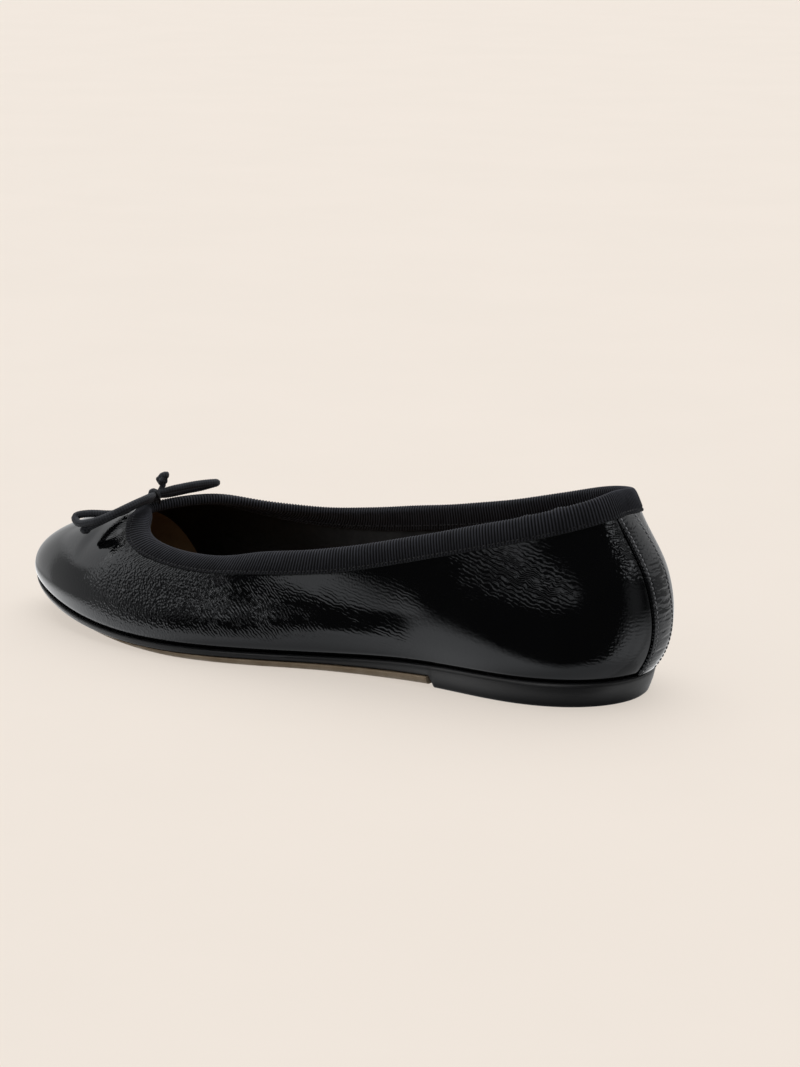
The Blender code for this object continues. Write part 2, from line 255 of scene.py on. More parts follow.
# Overhand knots: centre and axis
END_KNOTS = (((70.5, 0.8, 51.3), (0.1, 0.1, 1.0)), ((85.9, 26.2, 37.1), (1.0, -0.1, -0.35)))
END_KNOT_SIZE, END_KNOT_CORD, END_KNOT_RISE, END_KNOT_OPEN = 0.40, 0.95, 1.6, 0.2
TACK_ROUTE = ((70.6, 5.2, 48.4), (69.4, 5.2, 47.0), (68.9, 4.8, 45.3), (69.2, 4.4, 43.4))
TACK_RADIUS = 0.42


def across_axis(axis):
    """Two directions square to an axis."""
    first = axis.cross(Vector((0, 0, 1)) if abs(axis.z) < 0.9 else Vector((1, 0, 0))).normalized()
    return first, axis.cross(first)


first, second = across_axis(KNOT_AXIS)
spiral = []
for share in np.linspace(0, 1, KNOT_POINTS):
    angle = math.tau * KNOT_TURNS * share
    spiral.append(Vector(KNOT) + KNOT_AXIS * (share - 0.5) * KNOT_WIDTH
                  + KNOT_RADIUS * (first * math.cos(angle) + second * math.sin(angle)))
knots = [lay_cord("bow_knot_turn", smooth_path(spiral), KNOT_CORD)]
settle(knots[0], "cord", "bow_knot")
for number, (centre, axis) in enumerate(END_KNOTS):
    axis = Vector(axis).normalized()
    first, second = across_axis(axis)
    trefoil = [Vector(centre) + END_KNOT_SIZE * (
        first * (math.sin(t) + 2 * math.sin(2 * t)) + second * (math.cos(t) - 2 * math.cos(2 * t))
        - axis * END_KNOT_RISE * math.sin(3 * t))
        for t in np.linspace(END_KNOT_OPEN, math.tau - END_KNOT_OPEN, KNOT_POINTS)]
    knots.append(lay_cord(f"bow_end_knot_{number}", smooth_path(trefoil), END_KNOT_CORD))
    settle(knots[-1], "cord")
tack = lay_cord("bow_tack", smooth_path(TACK_ROUTE), TACK_RADIUS, braid=0.0)
# the tack's braid pattern becomes the painted shade of its thread finish
tack.data.attributes["braid"].name = "thread_shade"
settle(tack, "cord")

# %% [markdown]
# ## The cords' lengths
# A free cord has a real length, which is printed here. Both loops run from the knot and back to
# it, and the long end is stopped by a knot. The turn, the tack and the short upright end go with the
# inner loop.

# %% Cord lengths
GOES_WITH = {
    "bow_loop_inner": [knots[0], knots[1], bow["bow_end_inner"], tack],
    "bow_loop_outer": [],
    "bow_end_outer": [knots[2]],
}
for name, others in GOES_WITH.items():
    length = run_of(bow_paths[name])[-1]
    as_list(others)
    print(f"{name}: {length:.0f} mm of cord")

# %% [markdown]
# ## Ribs of the upper
# The leather hangs on ribs that rise from the feather line, where it meets the sole, to the fold of the
# topline. The table is the one that the solids were made from, so what is laid on it fits them.

# %% Rib table
LENGTH, SOLE_LENGTH, TOE = 250.0, 243.4, 125.3
RIB_COLUMNS = ("along", "side", "sole_half", "top_along", "top_half", "top_height",
               "low_rise", "low_flare", "high_flare", "high_drop")
RIBS = (
    (0.00, 1, 0.0, 0.060, 0.0, 69.3, 18.5, 16.0, 7.2, 14.7),
    (0.06, 1, 23.7, 0.079, 15.0, 67.9, 18.0, 9.2, 4.7, 15.0),
    (0.16, 1, 29.5, 0.152, 24.6, 62.4, 16.0, 6.2, 3.3, 14.0),
    (0.30, 1, 26.5, 0.293, 28.2, 52.8, 14.0, 5.0, 3.0, 12.0),
    (0.45, 1, 29.3, 0.427, 31.2, 44.5, 12.0, 5.0, 4.0, 10.0),
    (0.60, 1, 38.3, 0.540, 31.9, 39.7, 11.0, 4.0, 6.0, 8.0),
    (0.72, 1, 39.1, 0.617, 30.8, 36.0, 11.0, 3.0, 8.0, 6.0),
    (0.84, 1, 32.1, 0.719, 26.3, 37.0, 12.0, 3.1, 12.0, 4.0),
    (0.94, 1, 19.0, 0.760, 15.2, 41.5, 13.1, 3.2, 18.0, 3.0),
    (1.00, 1, -3.0, 0.782, 4.0, 42.8, 13.6, 3.3, 21.5, 3.4),
    (0.94, -1, 27.9, 0.729, 14.7, 43.4, 13.2, 3.5, 18.0, 3.0),
    (0.84, -1, 38.5, 0.682, 24.0, 41.3, 12.0, 3.0, 12.0, 4.0),
    (0.72, -1, 39.5, 0.611, 30.7, 40.2, 11.0, 3.0, 8.0, 6.0),
    (0.60, -1, 34.0, 0.533, 31.8, 41.8, 11.0, 4.0, 6.0, 8.0),
    (0.45, -1, 27.0, 0.424, 30.2, 46.2, 12.0, 5.0, 4.0, 10.0),
    (0.30, -1, 26.0, 0.290, 28.6, 52.4, 14.0, 5.0, 3.1, 12.0),
    (0.16, -1, 28.5, 0.147, 25.6, 61.6, 16.0, 6.0, 3.2, 14.0),
    (0.06, -1, 23.9, 0.077, 15.1, 66.0, 18.0, 10.0, 4.9, 15.0),
)
FEATHER = ((0.0, 8.7), (0.30, 7.8), (0.45, 5.6), (0.60, 5.0), (0.74, 5.1), (0.86, 7.6), (1.0, 14.0))


def turn_at(along, side=1):
    """How far round the shoe a station is: 0 at the heel, 0.5 at the toe, the outer side first."""
    turn = np.arccos(1 - 2 * np.asarray(along, float)) / (2 * np.pi)
    return np.where(np.asarray(side) < 0, 1 - turn, turn)


def along_at(turn):
    return (1 - np.cos(2 * np.pi * np.asarray(turn, float))) / 2


table = dict(zip(RIB_COLUMNS, np.array(RIBS).T))
for half in ("sole_half", "top_half"):
    table[half] = table[half] * table["side"]
RIB = {name: spline(list(zip(turn_at(table["along"], table["side"]), table[name])), period=1)
       for name in RIB_COLUMNS[2:]}
feather_height = spline(FEATHER)
print(len(RIBS), "ribs")


# %% Points on the upper
NUDGE = 1e-4  # of a turn or a rise, to measure a slope
RISES = np.linspace(1.04, 0, 131)  # from a little over the fold down to the feather line
RIB_STEPS = 81


def feather_line(turn):
    along = along_at(turn)
    return np.stack([TOE - SOLE_LENGTH * (1 - along), RIB["sole_half"](turn), feather_height(along)], -1)


def outward(turn):
    """Level direction out of the sole's edge."""
    turn = np.asarray(turn, float)
    run = feather_line(turn + NUDGE) - feather_line(turn - NUDGE)
    out = np.stack([-run[..., 1], run[..., 0], 0 * run[..., 0]], -1)
    return out / np.linalg.norm(out, axis=-1, keepdims=True)


def rib(turn, rise):
    """Point of the upper's outside: rise is 0 at the feather line and 1 at the topline's fold."""
    turn, rise = np.broadcast_arrays(np.asarray(turn, float), np.asarray(rise, float))
    out, up = outward(turn), np.array([0.0, 0.0, 1.0])
    foot = feather_line(turn)
    top = np.stack([TOE - LENGTH * (1 - RIB["top_along"](turn)), RIB["top_half"](turn),
                    RIB["top_height"](turn)], -1)
    low = foot + out * RIB["low_flare"](turn)[..., None] + up * RIB["low_rise"](turn)[..., None]
    high = top + out * RIB["high_flare"](turn)[..., None] - up * RIB["high_drop"](turn)[..., None]
    b = rise[..., None]
    a = 1 - b
    return a**3 * foot + 3 * a**2 * b * low + 3 * a * b**2 * high + b**3 * top


def skin(turn, rise, off=0.0):
    """Point at a distance outside (or, below zero, inside) the upper's outer face."""
    turn, rise, off = np.broadcast_arrays(*(np.asarray(value, float) for value in (turn, rise, off)))
    across = rib(turn + NUDGE, rise) - rib(turn - NUDGE, rise)
    climb = rib(turn, rise + NUDGE) - rib(turn, rise - NUDGE)
    normal = np.cross(climb, across)
    return rib(turn, rise) + off[..., None] * normal / np.linalg.norm(normal, axis=-1, keepdims=True)


def rise_at(turns, drops):
    """For each turn, the rises that lie those distances down the rib from the topline's fold."""
    points = rib(turns[:, None], RISES)
    fall = np.cumsum(np.linalg.norm(np.diff(points, axis=1, prepend=points[:, :1]), axis=2), axis=1)
    fold = np.array([np.interp(1.0, RISES[::-1], row[::-1]) for row in fall])
    return np.array([np.interp(drop, row, RISES) for drop, row in zip(drops, fall - fold[:, None])])


def rib_length(turns):
    points = rib(turns[:, None], np.linspace(0, 1, RIB_STEPS))
    return np.linalg.norm(np.diff(points, axis=1), axis=2).sum(axis=1)


print(f"the upper is {rib_length(np.array([0.0]))[0]:.0f} mm high at the heel")

# %% [markdown]
# ## Folds of the leather
# Drawn over the last, the leather swells over the sole, is drawn in above the ball of the foot, dishes
# before the bow and gathers into small creases where it bends. At the heel the elastic of the topline
# pulls it inwards. All of this is given one by one, as soft ridges and troughs along short routes on the
# shoe, because on a glossy surface a slope of a few degrees already moves a whole reflection.

# %% Ridges and troughs
COVERED = 8.5  # what the binding hides
# Hollow: x, how far its middle is down from the topline's fold, and its depth
HOLLOW = ((62.0, 21.0, 0.0), (47.0, 20.8, 0.5), (33.0, 20.5, 1.4), (18.0, 20.2, 2.1), (5.0, 19.6, 2.2),
          (-8.0, 19.0, 2.0), (-20.0, 21.0, 1.5), (-32.0, 24.0, 1.15), (-42.0, 26.0, 0.85),
          (-50.0, 27.5, 0.3), (-62.0, 28.0, 0.0))
HOLLOW_BELOW = 12.0
PULL, PULL_REACH, PULL_FADE = 2.2, 0.075, (8.0, 31.0)  # reach in turns, fade down from the topline's fold
# Swell over the sole
SWELL_ROUTE = ((70.0, 38.0, 15.0), (49.5, 40.6, 11.6), (29.5, 39.9, 10.0), (8.5, 35.1, 8.6),
               (-15.3, 29.0, 8.3), (-41.2, 27.3, 10.2), (-60.0, 29.0, 10.8))
# Dish before the bow
DISH_ROUTE = ((90.0, 21.0, 33.5), (82.0, 24.5, 33.8), (75.0, 27.0, 34.0), (67.0, 31.0, 32.5))
FOLDS = ((SWELL_ROUTE, 4.8, 0.25), (DISH_ROUTE, 7.5, -0.65))  # route, width and height
# Sets of creases: centre, direction, spacing, count, length, width and depth
CREASE_SETS = (
    ((24.0, 38.0, 22.0), (-0.61, -0.05, -0.79), 2.1, 13, 7.0, 0.8, 0.075),
    ((-8.0, 34.3, 25.0), (-0.95, -0.17, -0.30), 1.6, 6, 15.0, 0.7, 0.050),
    ((-80.0, 29.6, 41.5), (-0.94, 0.0, -0.34), 1.7, 9, 12.0, 0.7, 0.025),
)
CREASE_SEED = 7
ASIDE, SHIFT, LEAN = 0.25, 0.35, 0.9  # how far a crease may lie from its even place, and lean
FOLD_STEP = 6.0
INNER_SIDE = np.array((1.0, -0.96, 1.0))
INNER_SHARE = 0.8  # the inner side's folds have this share of the outer side's height
TAPER = 0.25  # of a fold's length, at each end


def fold_relief(points, route, width, height):
    """Height of one soft fold at each point: a ridge, or below zero a trough, tapering to both ends."""
    run = run_of(route)
    nearest, share = np.full(points.shape[:-1], np.inf), np.zeros(points.shape[:-1])
    for start, end, before, after in zip(route, route[1:], run, run[1:]):
        step = end - start
        at = np.clip(((points - start) @ step) / (step @ step), 0, 1)
        away = np.linalg.norm(points - start - at[..., None] * step, axis=-1)
        share = np.where(away < nearest, (before + at * (after - before)) / run[-1], share)
        nearest = np.minimum(away, nearest)
    return height * np.exp(-(nearest / width)**2) * ease(share, 0, TAPER) * ease(1 - share, 0, TAPER)


def broad_folds():
    """The folds of the outer side, and the weaker ones that answer them on the inner side."""
    for route, width, height in FOLDS:
        yield smooth_path(route, FOLD_STEP), width, height
        yield smooth_path(np.array(route) * INNER_SIDE, FOLD_STEP), width, INNER_SHARE * height


def creases():
    """Each set's creases as small troughs side by side, with lengths and places that vary a little."""
    chance = np.random.default_rng(CREASE_SEED)
    for side in (np.ones(3), INNER_SIDE):
        for centre, direction, spacing, count, length, width, depth in CREASE_SETS:
            along = np.array(direction) / np.linalg.norm(direction)
            beside = np.cross(along, (0, 1, 0))
            for step in range(count):
                aside = step - (count - 1) / 2 + chance.uniform(-ASIDE, ASIDE)
                shift = chance.uniform(-SHIFT, SHIFT) * length
                middle = np.array(centre) + beside * spacing * aside + along * shift
                half = along * length * chance.uniform(0.5, 1.0) + beside * chance.uniform(-LEAN, LEAN)
                ends = np.array([middle - half, middle + half]) * side
                yield ends, width, -depth * chance.uniform(0.6, 1.3)


def hollow(points, drops):
    """The leather drawn in above the ball of the foot: in under the binding, then softly out again."""
    x, middles, depths = np.array(HOLLOW[::-1]).T
    middle, depth = (spline(list(zip(x, column)))(points[..., 0]) for column in (middles, depths))
    above = np.clip((middle - drops) / (middle - COVERED), 0, 1)
    weaker = np.where(points[..., 1] > 0, 1.0, INNER_SHARE)
    return -weaker * np.maximum(depth, 0) * (1 - above**2) * (1 - ease(drops - middle, 0, HOLLOW_BELOW))


def drawn_in(turns, drops):
    """The elastic in the topline draws the back of the heel inwards, less and less down the heel."""
    from_heel = np.abs(np.mod(np.asarray(turns) + 0.5, 1) - 0.5)
    return -PULL * np.exp(-(from_heel / PULL_REACH)**2) * (1 - ease(drops, *PULL_FADE))


def leather_relief(points):
    return sum(fold_relief(points, *fold) for fold in [*broad_folds(), *creases()])


print(len(FOLDS), "broad folds a side and", sum(1 for _ in creases()), "creases")

# %% [markdown]
# ## The upper
# One piece of patent leather is pulled down over the last, tucked under at the feather line and folded
# over the lining at the top. The grid has a point about every 0.7 mm, fine enough to hold the creases,
# and its last columns are the lining's side of the wall. Five masks go with it: four say how strongly the
# film ripples, crinkles steeply, is pebbled or gathers, and the fifth is the height above one long ripple
# that the fine ones follow.

# %% Upper
AROUND, OUTER_ROWS, INNER_ROWS = 840, 80, 20
WALL = 1.4
TOP_EDGE_DROP = 1.3
TUCK = ((2.4, -0.22), (1.0, -0.22), (0.35, -0.15))  # inwards and down, under the feather line
NARROWED, NARROW_REACH = 0.52, 0.06  # the binding narrows by this share at the throat; reach in turns
HEM_CURL, HEM_HEIGHT = 0.7, 1.8
BINDING_FADE, HEM_FADE = (-0.5, 2.5), (0.0, 3.0)  # where the folds begin, below the binding and above the hem
LINING_FOOT = 0.03  # share of the height where the lining ends
SMOOTH_PLACE, SMOOTH_REACH, SMOOTHED = (80.0, 27.0, 32.0), 11.0, 0.8  # before the bow
THROAT_REACH, GATHER_REACH = 0.42, 11.0  # along the shoe, and down from the binding
STRONGEST = 4.0
ZONE_COLUMNS = ("centre", "reach", "ripple", "steep", "pebble")  # the inner side has the same zones
ZONES = (
    ((32.0, 37.5, 26.0), 9.0, 0.3, 0.2, 2.2), ((24.0, 38.5, 22.0), 9.0, 0.0, 1.7, 1.0),
    ((6.0, 36.0, 20.5), 8.0, 0.0, 1.7, 0.6), ((-9.0, 34.0, 18.5), 6.0, 0.0, 0.6, 0.3),
    ((8.0, 36.5, 26.3), 5.5, 0.5, 0.0, 0.0), ((-3.0, 35.5, 26.5), 5.5, 0.5, 0.0, 0.0),
    ((-14.0, 33.5, 24.4), 5.5, 0.45, 0.0, 0.0), ((-25.0, 31.0, 21.0), 5.0, 0.4, 0.0, 0.0),
    ((-36.0, 29.5, 17.6), 4.5, 0.4, 0.0, 0.0), ((-43.0, 28.3, 14.5), 4.5, 0.35, 0.0, 0.0),
    ((-22.0, 32.5, 29.0), 12.0, 0.08, 0.0, 0.0), ((-44.0, 30.5, 33.0), 8.0, 0.15, 0.0, 0.0),
    ((-66.0, 29.8, 42.0), 9.0, 0.45, 0.0, 0.0), ((-80.0, 29.7, 42.0), 10.0, 0.5, 0.0, 0.0),
    ((-96.0, 28.0, 40.5), 9.0, 0.5, 0.0, 0.0), ((-112.0, 13.0, 56.0), 7.0, 1.0, 0.0, 0.8),
    ((-116.5, 11.5, 48.0), 7.0, 1.0, 0.0, 0.8),
    ((-114.0, 18.0, 26.0), 10.0, 0.5, 0.0, 0.5), ((62.0, 37.5, 23.0), 14.0, 0.0, 0.0, 2.6),
    ((74.0, 33.0, 28.0), 11.0, 0.0, 0.0, 1.9), ((92.0, 25.0, 27.0), 8.0, 0.0, 0.0, 0.8),
    ((43.0, 38.5, 21.0), 11.0, 0.0, 0.3, 2.8), (SMOOTH_PLACE, 9.0, 0.0, 0.0, -2.8),
)
# One long ripple along the shoe: x and height
FLOW = ((-120.0, -11.0), (-100.0, -5.0), (-80.0, 2.0), (-60.0, 9.0), (-41.8, 14.8), (-24.2, 19.8),
        (-7.2, 25.3), (14.7, 28.2), (39.2, 28.4), (80.0, 30.0), (120.0, 32.0))


def binding_width(turns):
    """How wide the binding is, as a share of its full width."""
    return 1 - NARROWED * np.exp(-((np.asarray(turns) - 0.5) / NARROW_REACH)**2)


turns = np.linspace(0, 1, AROUND + 1)
heights = rib_length(turns)[:, None]
outer_drops = heights + (TOP_EDGE_DROP - heights) * np.linspace(0, 1, OUTER_ROWS)
inner_drops = heights + (TOP_EDGE_DROP - heights) * np.linspace(1, LINING_FOOT, INNER_ROWS)
outer_rises, inner_rises = rise_at(turns, outer_drops), rise_at(turns, inner_drops)
bare = rib(turns[:, None], outer_rises)
below_binding = outer_drops - COVERED * binding_width(turns)[:, None]
above_hem = heights - outer_drops
relief = leather_relief(bare) * ease(below_binding, *BINDING_FADE) * ease(above_hem, *HEM_FADE)
relief += hollow(bare, outer_drops) + drawn_in(turns[:, None], outer_drops)
relief -= HEM_CURL * (1 - np.clip(above_hem / HEM_HEIGHT, 0, 1))**2
tuck = [feather_line(turns) - outward(turns) * (HEM_CURL + inwards) + np.array((0, 0, down))
        for inwards, down in TUCK]
outside = skin(turns[:, None], outer_rises, relief)
inside = skin(turns[:, None], inner_rises, hollow(rib(turns[:, None], inner_rises), inner_drops)
              + drawn_in(turns[:, None], inner_drops) - WALL)
net = np.concatenate([np.stack(tuck, 1), outside, inside, tuck[0][:, None]], axis=1)

# %% Masks of the upper
either_side = np.abs(net) * (0, 1, 0) + net * (1, 0, 1)
upper_masks = {name: np.zeros(net.shape[:2]) for name in ZONE_COLUMNS[2:]}
for centre, reach, *strengths in ZONES:
    nearness = np.exp(-(np.linalg.norm(either_side - np.array(centre), axis=-1) / reach)**2)
    for name, strength in zip(upper_masks, strengths):
        upper_masks[name] = np.clip(upper_masks[name] + strength * nearness, 0, STRONGEST)
throat = np.exp(-((along_at(turns) - 1.0) / THROAT_REACH)**2)[:, None]
smooth = np.exp(-(np.linalg.norm(outside - np.array(SMOOTH_PLACE), axis=-1) / SMOOTH_REACH)**2)
gather = throat * (1 - ease(below_binding, 0, GATHER_REACH)) * (1 - SMOOTHED * smooth)
upper_masks["gather"] = np.zeros(net.shape[:2])
upper_masks["gather"][:, len(TUCK):len(TUCK) + OUTER_ROWS] = gather
upper_masks["flow"] = net[..., 2] - spline(FLOW)(net[..., 0])
upper = lay_grid("upper_patent", net, masks=upper_masks)
settle(upper, "patent", "upper")

# %% [markdown]
# The lining is the same wall seen from inside, so its faces get a second material slot. They are the
# columns of the grid that come after the top edge.

# %% Lining faces
LINING_SLOT = 1
first_inner = len(TUCK) + OUTER_ROWS - 1
columns = net.shape[1] - 1
index = np.zeros((AROUND, columns), np.int32)
index[:, first_inner:] = LINING_SLOT
upper.data.polygons.foreach_set("material_index", index.ravel())
print(int(index.sum()), "faces of lining")

# %% [markdown]
# ## The binding
# A matte grosgrain ribbon is folded over the raw edge of the topline and stitched through. Its cross ribs
# are real relief: the section below is swept round the topline with six stations to each rib. It is not
# quite even: the cord inside makes it swell here and there, it puckers in two places near the heel, and
# at the back it is pulled flat.

# %% Binding
RIBBON_PITCH = 1.05
RIBBON_RELIEF = 0.17
STATIONS_PER_RIB = 6
# Section of the binding: down the rib from the fold, out from the upper, share of the ribs' relief
BINDING = (
    (8.50, 0.18, 0), (8.62, 0.45, 0), (8.50, 0.68, 0.2), (8.10, 0.80, 0.7), (7.50, 0.56, 0.4),
    (6.90, 0.86, 1), (5.60, 0.95, 1), (4.20, 1.00, 1), (2.90, 0.96, 1), (1.80, 0.78, 1), (1.00, 0.50, 1),
    (0.45, 0.12, 1), (0.10, -0.28, 1), (0.00, -0.70, 1), (0.10, -1.30, 1), (0.45, -1.90, 1),
    (1.00, -2.25, 1), (2.20, -2.45, 1), (4.00, -2.50, 1), (6.00, -2.45, 1), (8.30, -2.40, 1),
    (9.50, -2.34, 0.4), (9.80, -2.10, 0), (9.70, -1.75, 0), (5.00, -1.65, 0), (1.00, -1.60, 0),
    (1.00, 0.10, 0), (4.80, 0.12, 0), (8.50, 0.18, 0),
)
SWELL = 0.10
LONG_WAVE, SLOW_WAVE, SHORT_WAVE = 9.3, 23.0, 4.1  # of the swelling, along the ribbon
# painted shade: how dark the gaps between the ribs are painted, in the middle and at the ribbon's edges
RIB_SHADE_CONTRAST, EDGE_SHADE_CONTRAST = 2.2, 0.3  # the second is what is left of the ribs at the ribbon's edges
TOPLINE_STEPS = 4001
HEEL_FLUSH, HEEL_REACH = 0.7, 18.0  # at the heel the ribbon is pulled flat by that share
# painted light: the ribs are painted paler at the fold, where light from above falls, and darker lower down
FOLD_PAINTED_LIGHT, LOW_PAINTED_SHADE, PAINTED_LIGHT_DROPS = 1.45, 0.8, (1.0, 6.0)  # the ribs are paler at the fold than below it
PUCKERS = ((0.118, 0.45, 1.6), (0.165, 0.35, 1.5))  # share along the shoe, height and reach

fine_turns = np.linspace(0, 1, TOPLINE_STEPS)
topline = run_of(rib(fine_turns, 1.0))
ribbon_length = topline[-1]
rib_count = round(ribbon_length / RIBBON_PITCH)
stations = np.linspace(0, ribbon_length, rib_count * STATIONS_PER_RIB + 1)
ribbon_turns = np.interp(stations, topline, fine_turns)
drops, offs, share = np.array(BINDING).T
out_drop, out_off = np.gradient(offs), -np.gradient(drops)
scale = np.hypot(out_drop, out_off)
ribs = np.cos(2 * np.pi * stations / ribbon_length * rib_count)
swell = np.sin(stations / LONG_WAVE) * np.sin(stations / SLOW_WAVE + 1) + 0.5 * np.sin(stations / SHORT_WAVE)
swell *= SWELL * np.sin(np.pi * stations / ribbon_length)**0.2  # none at the back of the heel
for along, height, reach in PUCKERS:
    swell += height * np.exp(-((stations - np.interp(turn_at(along), fine_turns, topline)) / reach)**2)
lift = (RIBBON_RELIEF * ribs + swell)[:, None] * share
ribbon_drops = drops * np.where(offs > 0, binding_width(ribbon_turns)[:, None], 1)
flush = HEEL_FLUSH * np.exp(-(np.minimum(stations, ribbon_length - stations) / HEEL_REACH)**2)
ribbon_offs = offs - flush[:, None] * np.clip(offs, 0, 1) + drawn_in(ribbon_turns[:, None], ribbon_drops)
ahead = np.gradient(rib(ribbon_turns, 1.0), axis=0)
down = rib(ribbon_turns, 0.98) - rib(ribbon_turns, 1.0)
slant = np.sum(ahead * down, axis=1) / np.linalg.norm(ahead, axis=1) / np.linalg.norm(down, axis=1)
square_stations = np.mod(stations[:, None] - slant[:, None] * drops, ribbon_length)
square_turns = np.interp(square_stations, topline, fine_turns)
ribbon_net = skin(square_turns, rise_at(ribbon_turns, ribbon_drops + lift * out_drop / scale),
                  ribbon_offs + lift * out_off / scale)
# painted shade: the mask is low in the gaps between the ribs, which the grosgrain finish paints black
ribbon_painted_shade_and_light = (0.5 + 0.5 * ribs[:, None] * np.minimum(1, share + EDGE_SHADE_CONTRAST))**RIB_SHADE_CONTRAST
# painted light and shade: paler at the fold, darker below it
ribbon_painted_shade_and_light *= FOLD_PAINTED_LIGHT + (LOW_PAINTED_SHADE - FOLD_PAINTED_LIGHT) * ease(drops, *PAINTED_LIGHT_DROPS)
binding = lay_grid("topline_ribbon", ribbon_net, masks={"rib": ribbon_painted_shade_and_light})
settle(binding, "ribbon", "topline_binding")
print(f"{ribbon_length:.0f} mm of ribbon, {rib_count} ribs")

# %% [markdown]
# ## The heel strip
# A narrow strip of the same leather covers the seam at the back of the heel. It is laid like the upper,
# with its edges turned down, a shallow channel under each row of stitches and small cross wrinkles from
# being stretched over the curve. The binding presses its upper end.

# %% Heel strip
# Strip from the top down, leaning to the outer side at the top: share, centre and width
STRIP = ((0.0, 3.7, 13.2), (0.5, 2.3, 13.2), (1.0, 1.0, 12.2))
STRIP_TOP_DROP, STRIP_LOW_RISE, STRIP_THICK = 8.75, 0.012, 0.75
STRIP_PRESSED, PRESS_FADE = 0.5, 7.0  # share of its thickness left under the binding, and how far down
# Half of its section from the edge to the middle, and its underside: share of the half width, how far out
HALF_SECTION = (
    (1.00, -0.10), (1.01, 0.30), (0.985, 0.70), (0.94, 0.98), (0.88, 1.08), (0.80, 1.06), (0.74, 0.98),
    (0.68, 1.06), (0.60, 1.12), (0.45, 1.16), (0.30, 1.18), (0.15, 1.20), (0.0, 1.20),
)
UNDERSIDE, UNDER_MIDDLE = ((0.5, -0.10), (0.0, -0.10), (-0.5, -0.10), (-1.00, -0.10)), -3
STRIP_ROWS, STRIP_SEED, TURN_STEP = 170, 3, 1e-3
WRINKLES, WRINKLE_DEPTH, WRINKLE_WIDTH, WRINKLE_REACH = 46, 0.16, 0.55, 0.35
STRIP_FILM = {"ripple": 0.45, "steep": 0.0, "pebble": 0.3, "gather": 0.0}

strip_top = rise_at(np.array([0.0]), np.array([[STRIP_TOP_DROP]]))[0, 0]
strip_rises = np.linspace(strip_top, STRIP_LOW_RISE, STRIP_ROWS)
per_turn = np.linalg.norm(rib(TURN_STEP, strip_rises) - rib(-TURN_STEP, strip_rises), axis=-1)[:, None]
per_turn /= 2 * TURN_STEP
strip_section = [(-across, off) for across, off in HALF_SECTION] + [*HALF_SECTION[-2::-1], *UNDERSIDE]
strip_across, strip_off = np.array(strip_section).T
strip_off = strip_off * STRIP_THICK
shares, centres, widths = np.array(STRIP).T
strip_shares = np.linspace(0, 1, STRIP_ROWS)
strip_centre, strip_half = (spline(list(zip(shares, column)))(strip_shares)[:, None]
                            for column in (centres, widths / 2))
strip_turns = (strip_centre + strip_across * strip_half) / per_turn
strip_run = run_of(rib(0.0, strip_rises))[:, None]
chance = np.random.default_rng(STRIP_SEED)
wrinkle = np.zeros((STRIP_ROWS, len(strip_across)))
for _ in range(WRINKLES):
    place, middle = chance.normal(0.62, 0.18) * strip_run[-1, 0], chance.uniform(-0.6, 0.6)
    bow_line = strip_run - place - chance.uniform(-1.2, 1.2) * strip_across
    near = np.exp(-(bow_line / WRINKLE_WIDTH)**2 - ((strip_across - middle) / WRINKLE_REACH)**2)
    wrinkle -= chance.uniform(0.3, 1.0) * near
face = strip_off > 0.9 * STRIP_THICK  # neither the edges nor the underside
strip_pull = drawn_in(strip_turns, STRIP_TOP_DROP + strip_run)
strip_press = STRIP_PRESSED + (1 - STRIP_PRESSED) * ease(strip_run, 0, PRESS_FADE)
strip_net = skin(strip_turns, strip_rises[:, None],
                 strip_off * strip_press + strip_pull + WRINKLE_DEPTH * wrinkle * face)
middles = [np.repeat(strip_net[row, [UNDER_MIDDLE]], len(strip_across), axis=0) for row in (0, -1)]
strip_net = np.concatenate([middles[0][None], strip_net, middles[1][None]])
strip_masks = {name: np.full(strip_net.shape[:2], value) for name, value in STRIP_FILM.items()}
strip_masks["flow"] = strip_net[..., 2]
heel_strip = lay_grid("heel_strip_patent", strip_net, masks=strip_masks)
settle(heel_strip, "patent", "heel_strip")

# %% [markdown]
# ## Stitches
# The ribbon is sewn down near its lower edge, and the heel strip along both edges. One stitch is modelled
# as a plump grain of thread and copied along each row, with both ends dipping where the thread goes down.

# %% One stitch
STITCH_LENGTH, STITCH_RADIUS, STITCH_DIP = 1.35, 0.25, 0.9
LOOK_AHEAD = 0.3  # along the seam, for a stitch's direction


def one_stitch():
    """Points and faces of a stitch along x, made from a ball with its ends drawn out and dipped."""
    bpy.ops.object.select_all(action="DESELECT")
    bpy.ops.mesh.primitive_uv_sphere_add(segments=8, ring_count=7, radius=1, rotation=(0, math.pi / 2, 0))
    ball = bpy.context.object
    bpy.ops.object.transform_apply(location=False, rotation=True, scale=False)
    bpy.ops.object.mode_set(mode="EDIT")
    bpy.ops.mesh.select_all(action="SELECT")
    bpy.ops.transform.resize(value=(STITCH_LENGTH / 2, STITCH_RADIUS, STITCH_RADIUS))
    bpy.ops.object.mode_set(mode="OBJECT")
    points = np.array([vertex.co for vertex in ball.data.vertices])
    points[:, 2] -= STITCH_DIP * STITCH_RADIUS * (2 * points[:, 0] / STITCH_LENGTH)**4
    faces = [tuple(face.vertices) for face in ball.data.polygons]
    bpy.data.objects.remove(ball, do_unlink=True)
    return points, faces


STITCH_POINTS, STITCH_FACES = one_stitch()
# painted shade: the thread is darkened at both ends, where it goes down into its hole
STITCH_SHADE = 1 - (2 * STITCH_POINTS[:, 0] / STITCH_LENGTH)**2  # dark where the thread goes down
print(len(STITCH_FACES), "faces in a stitch")


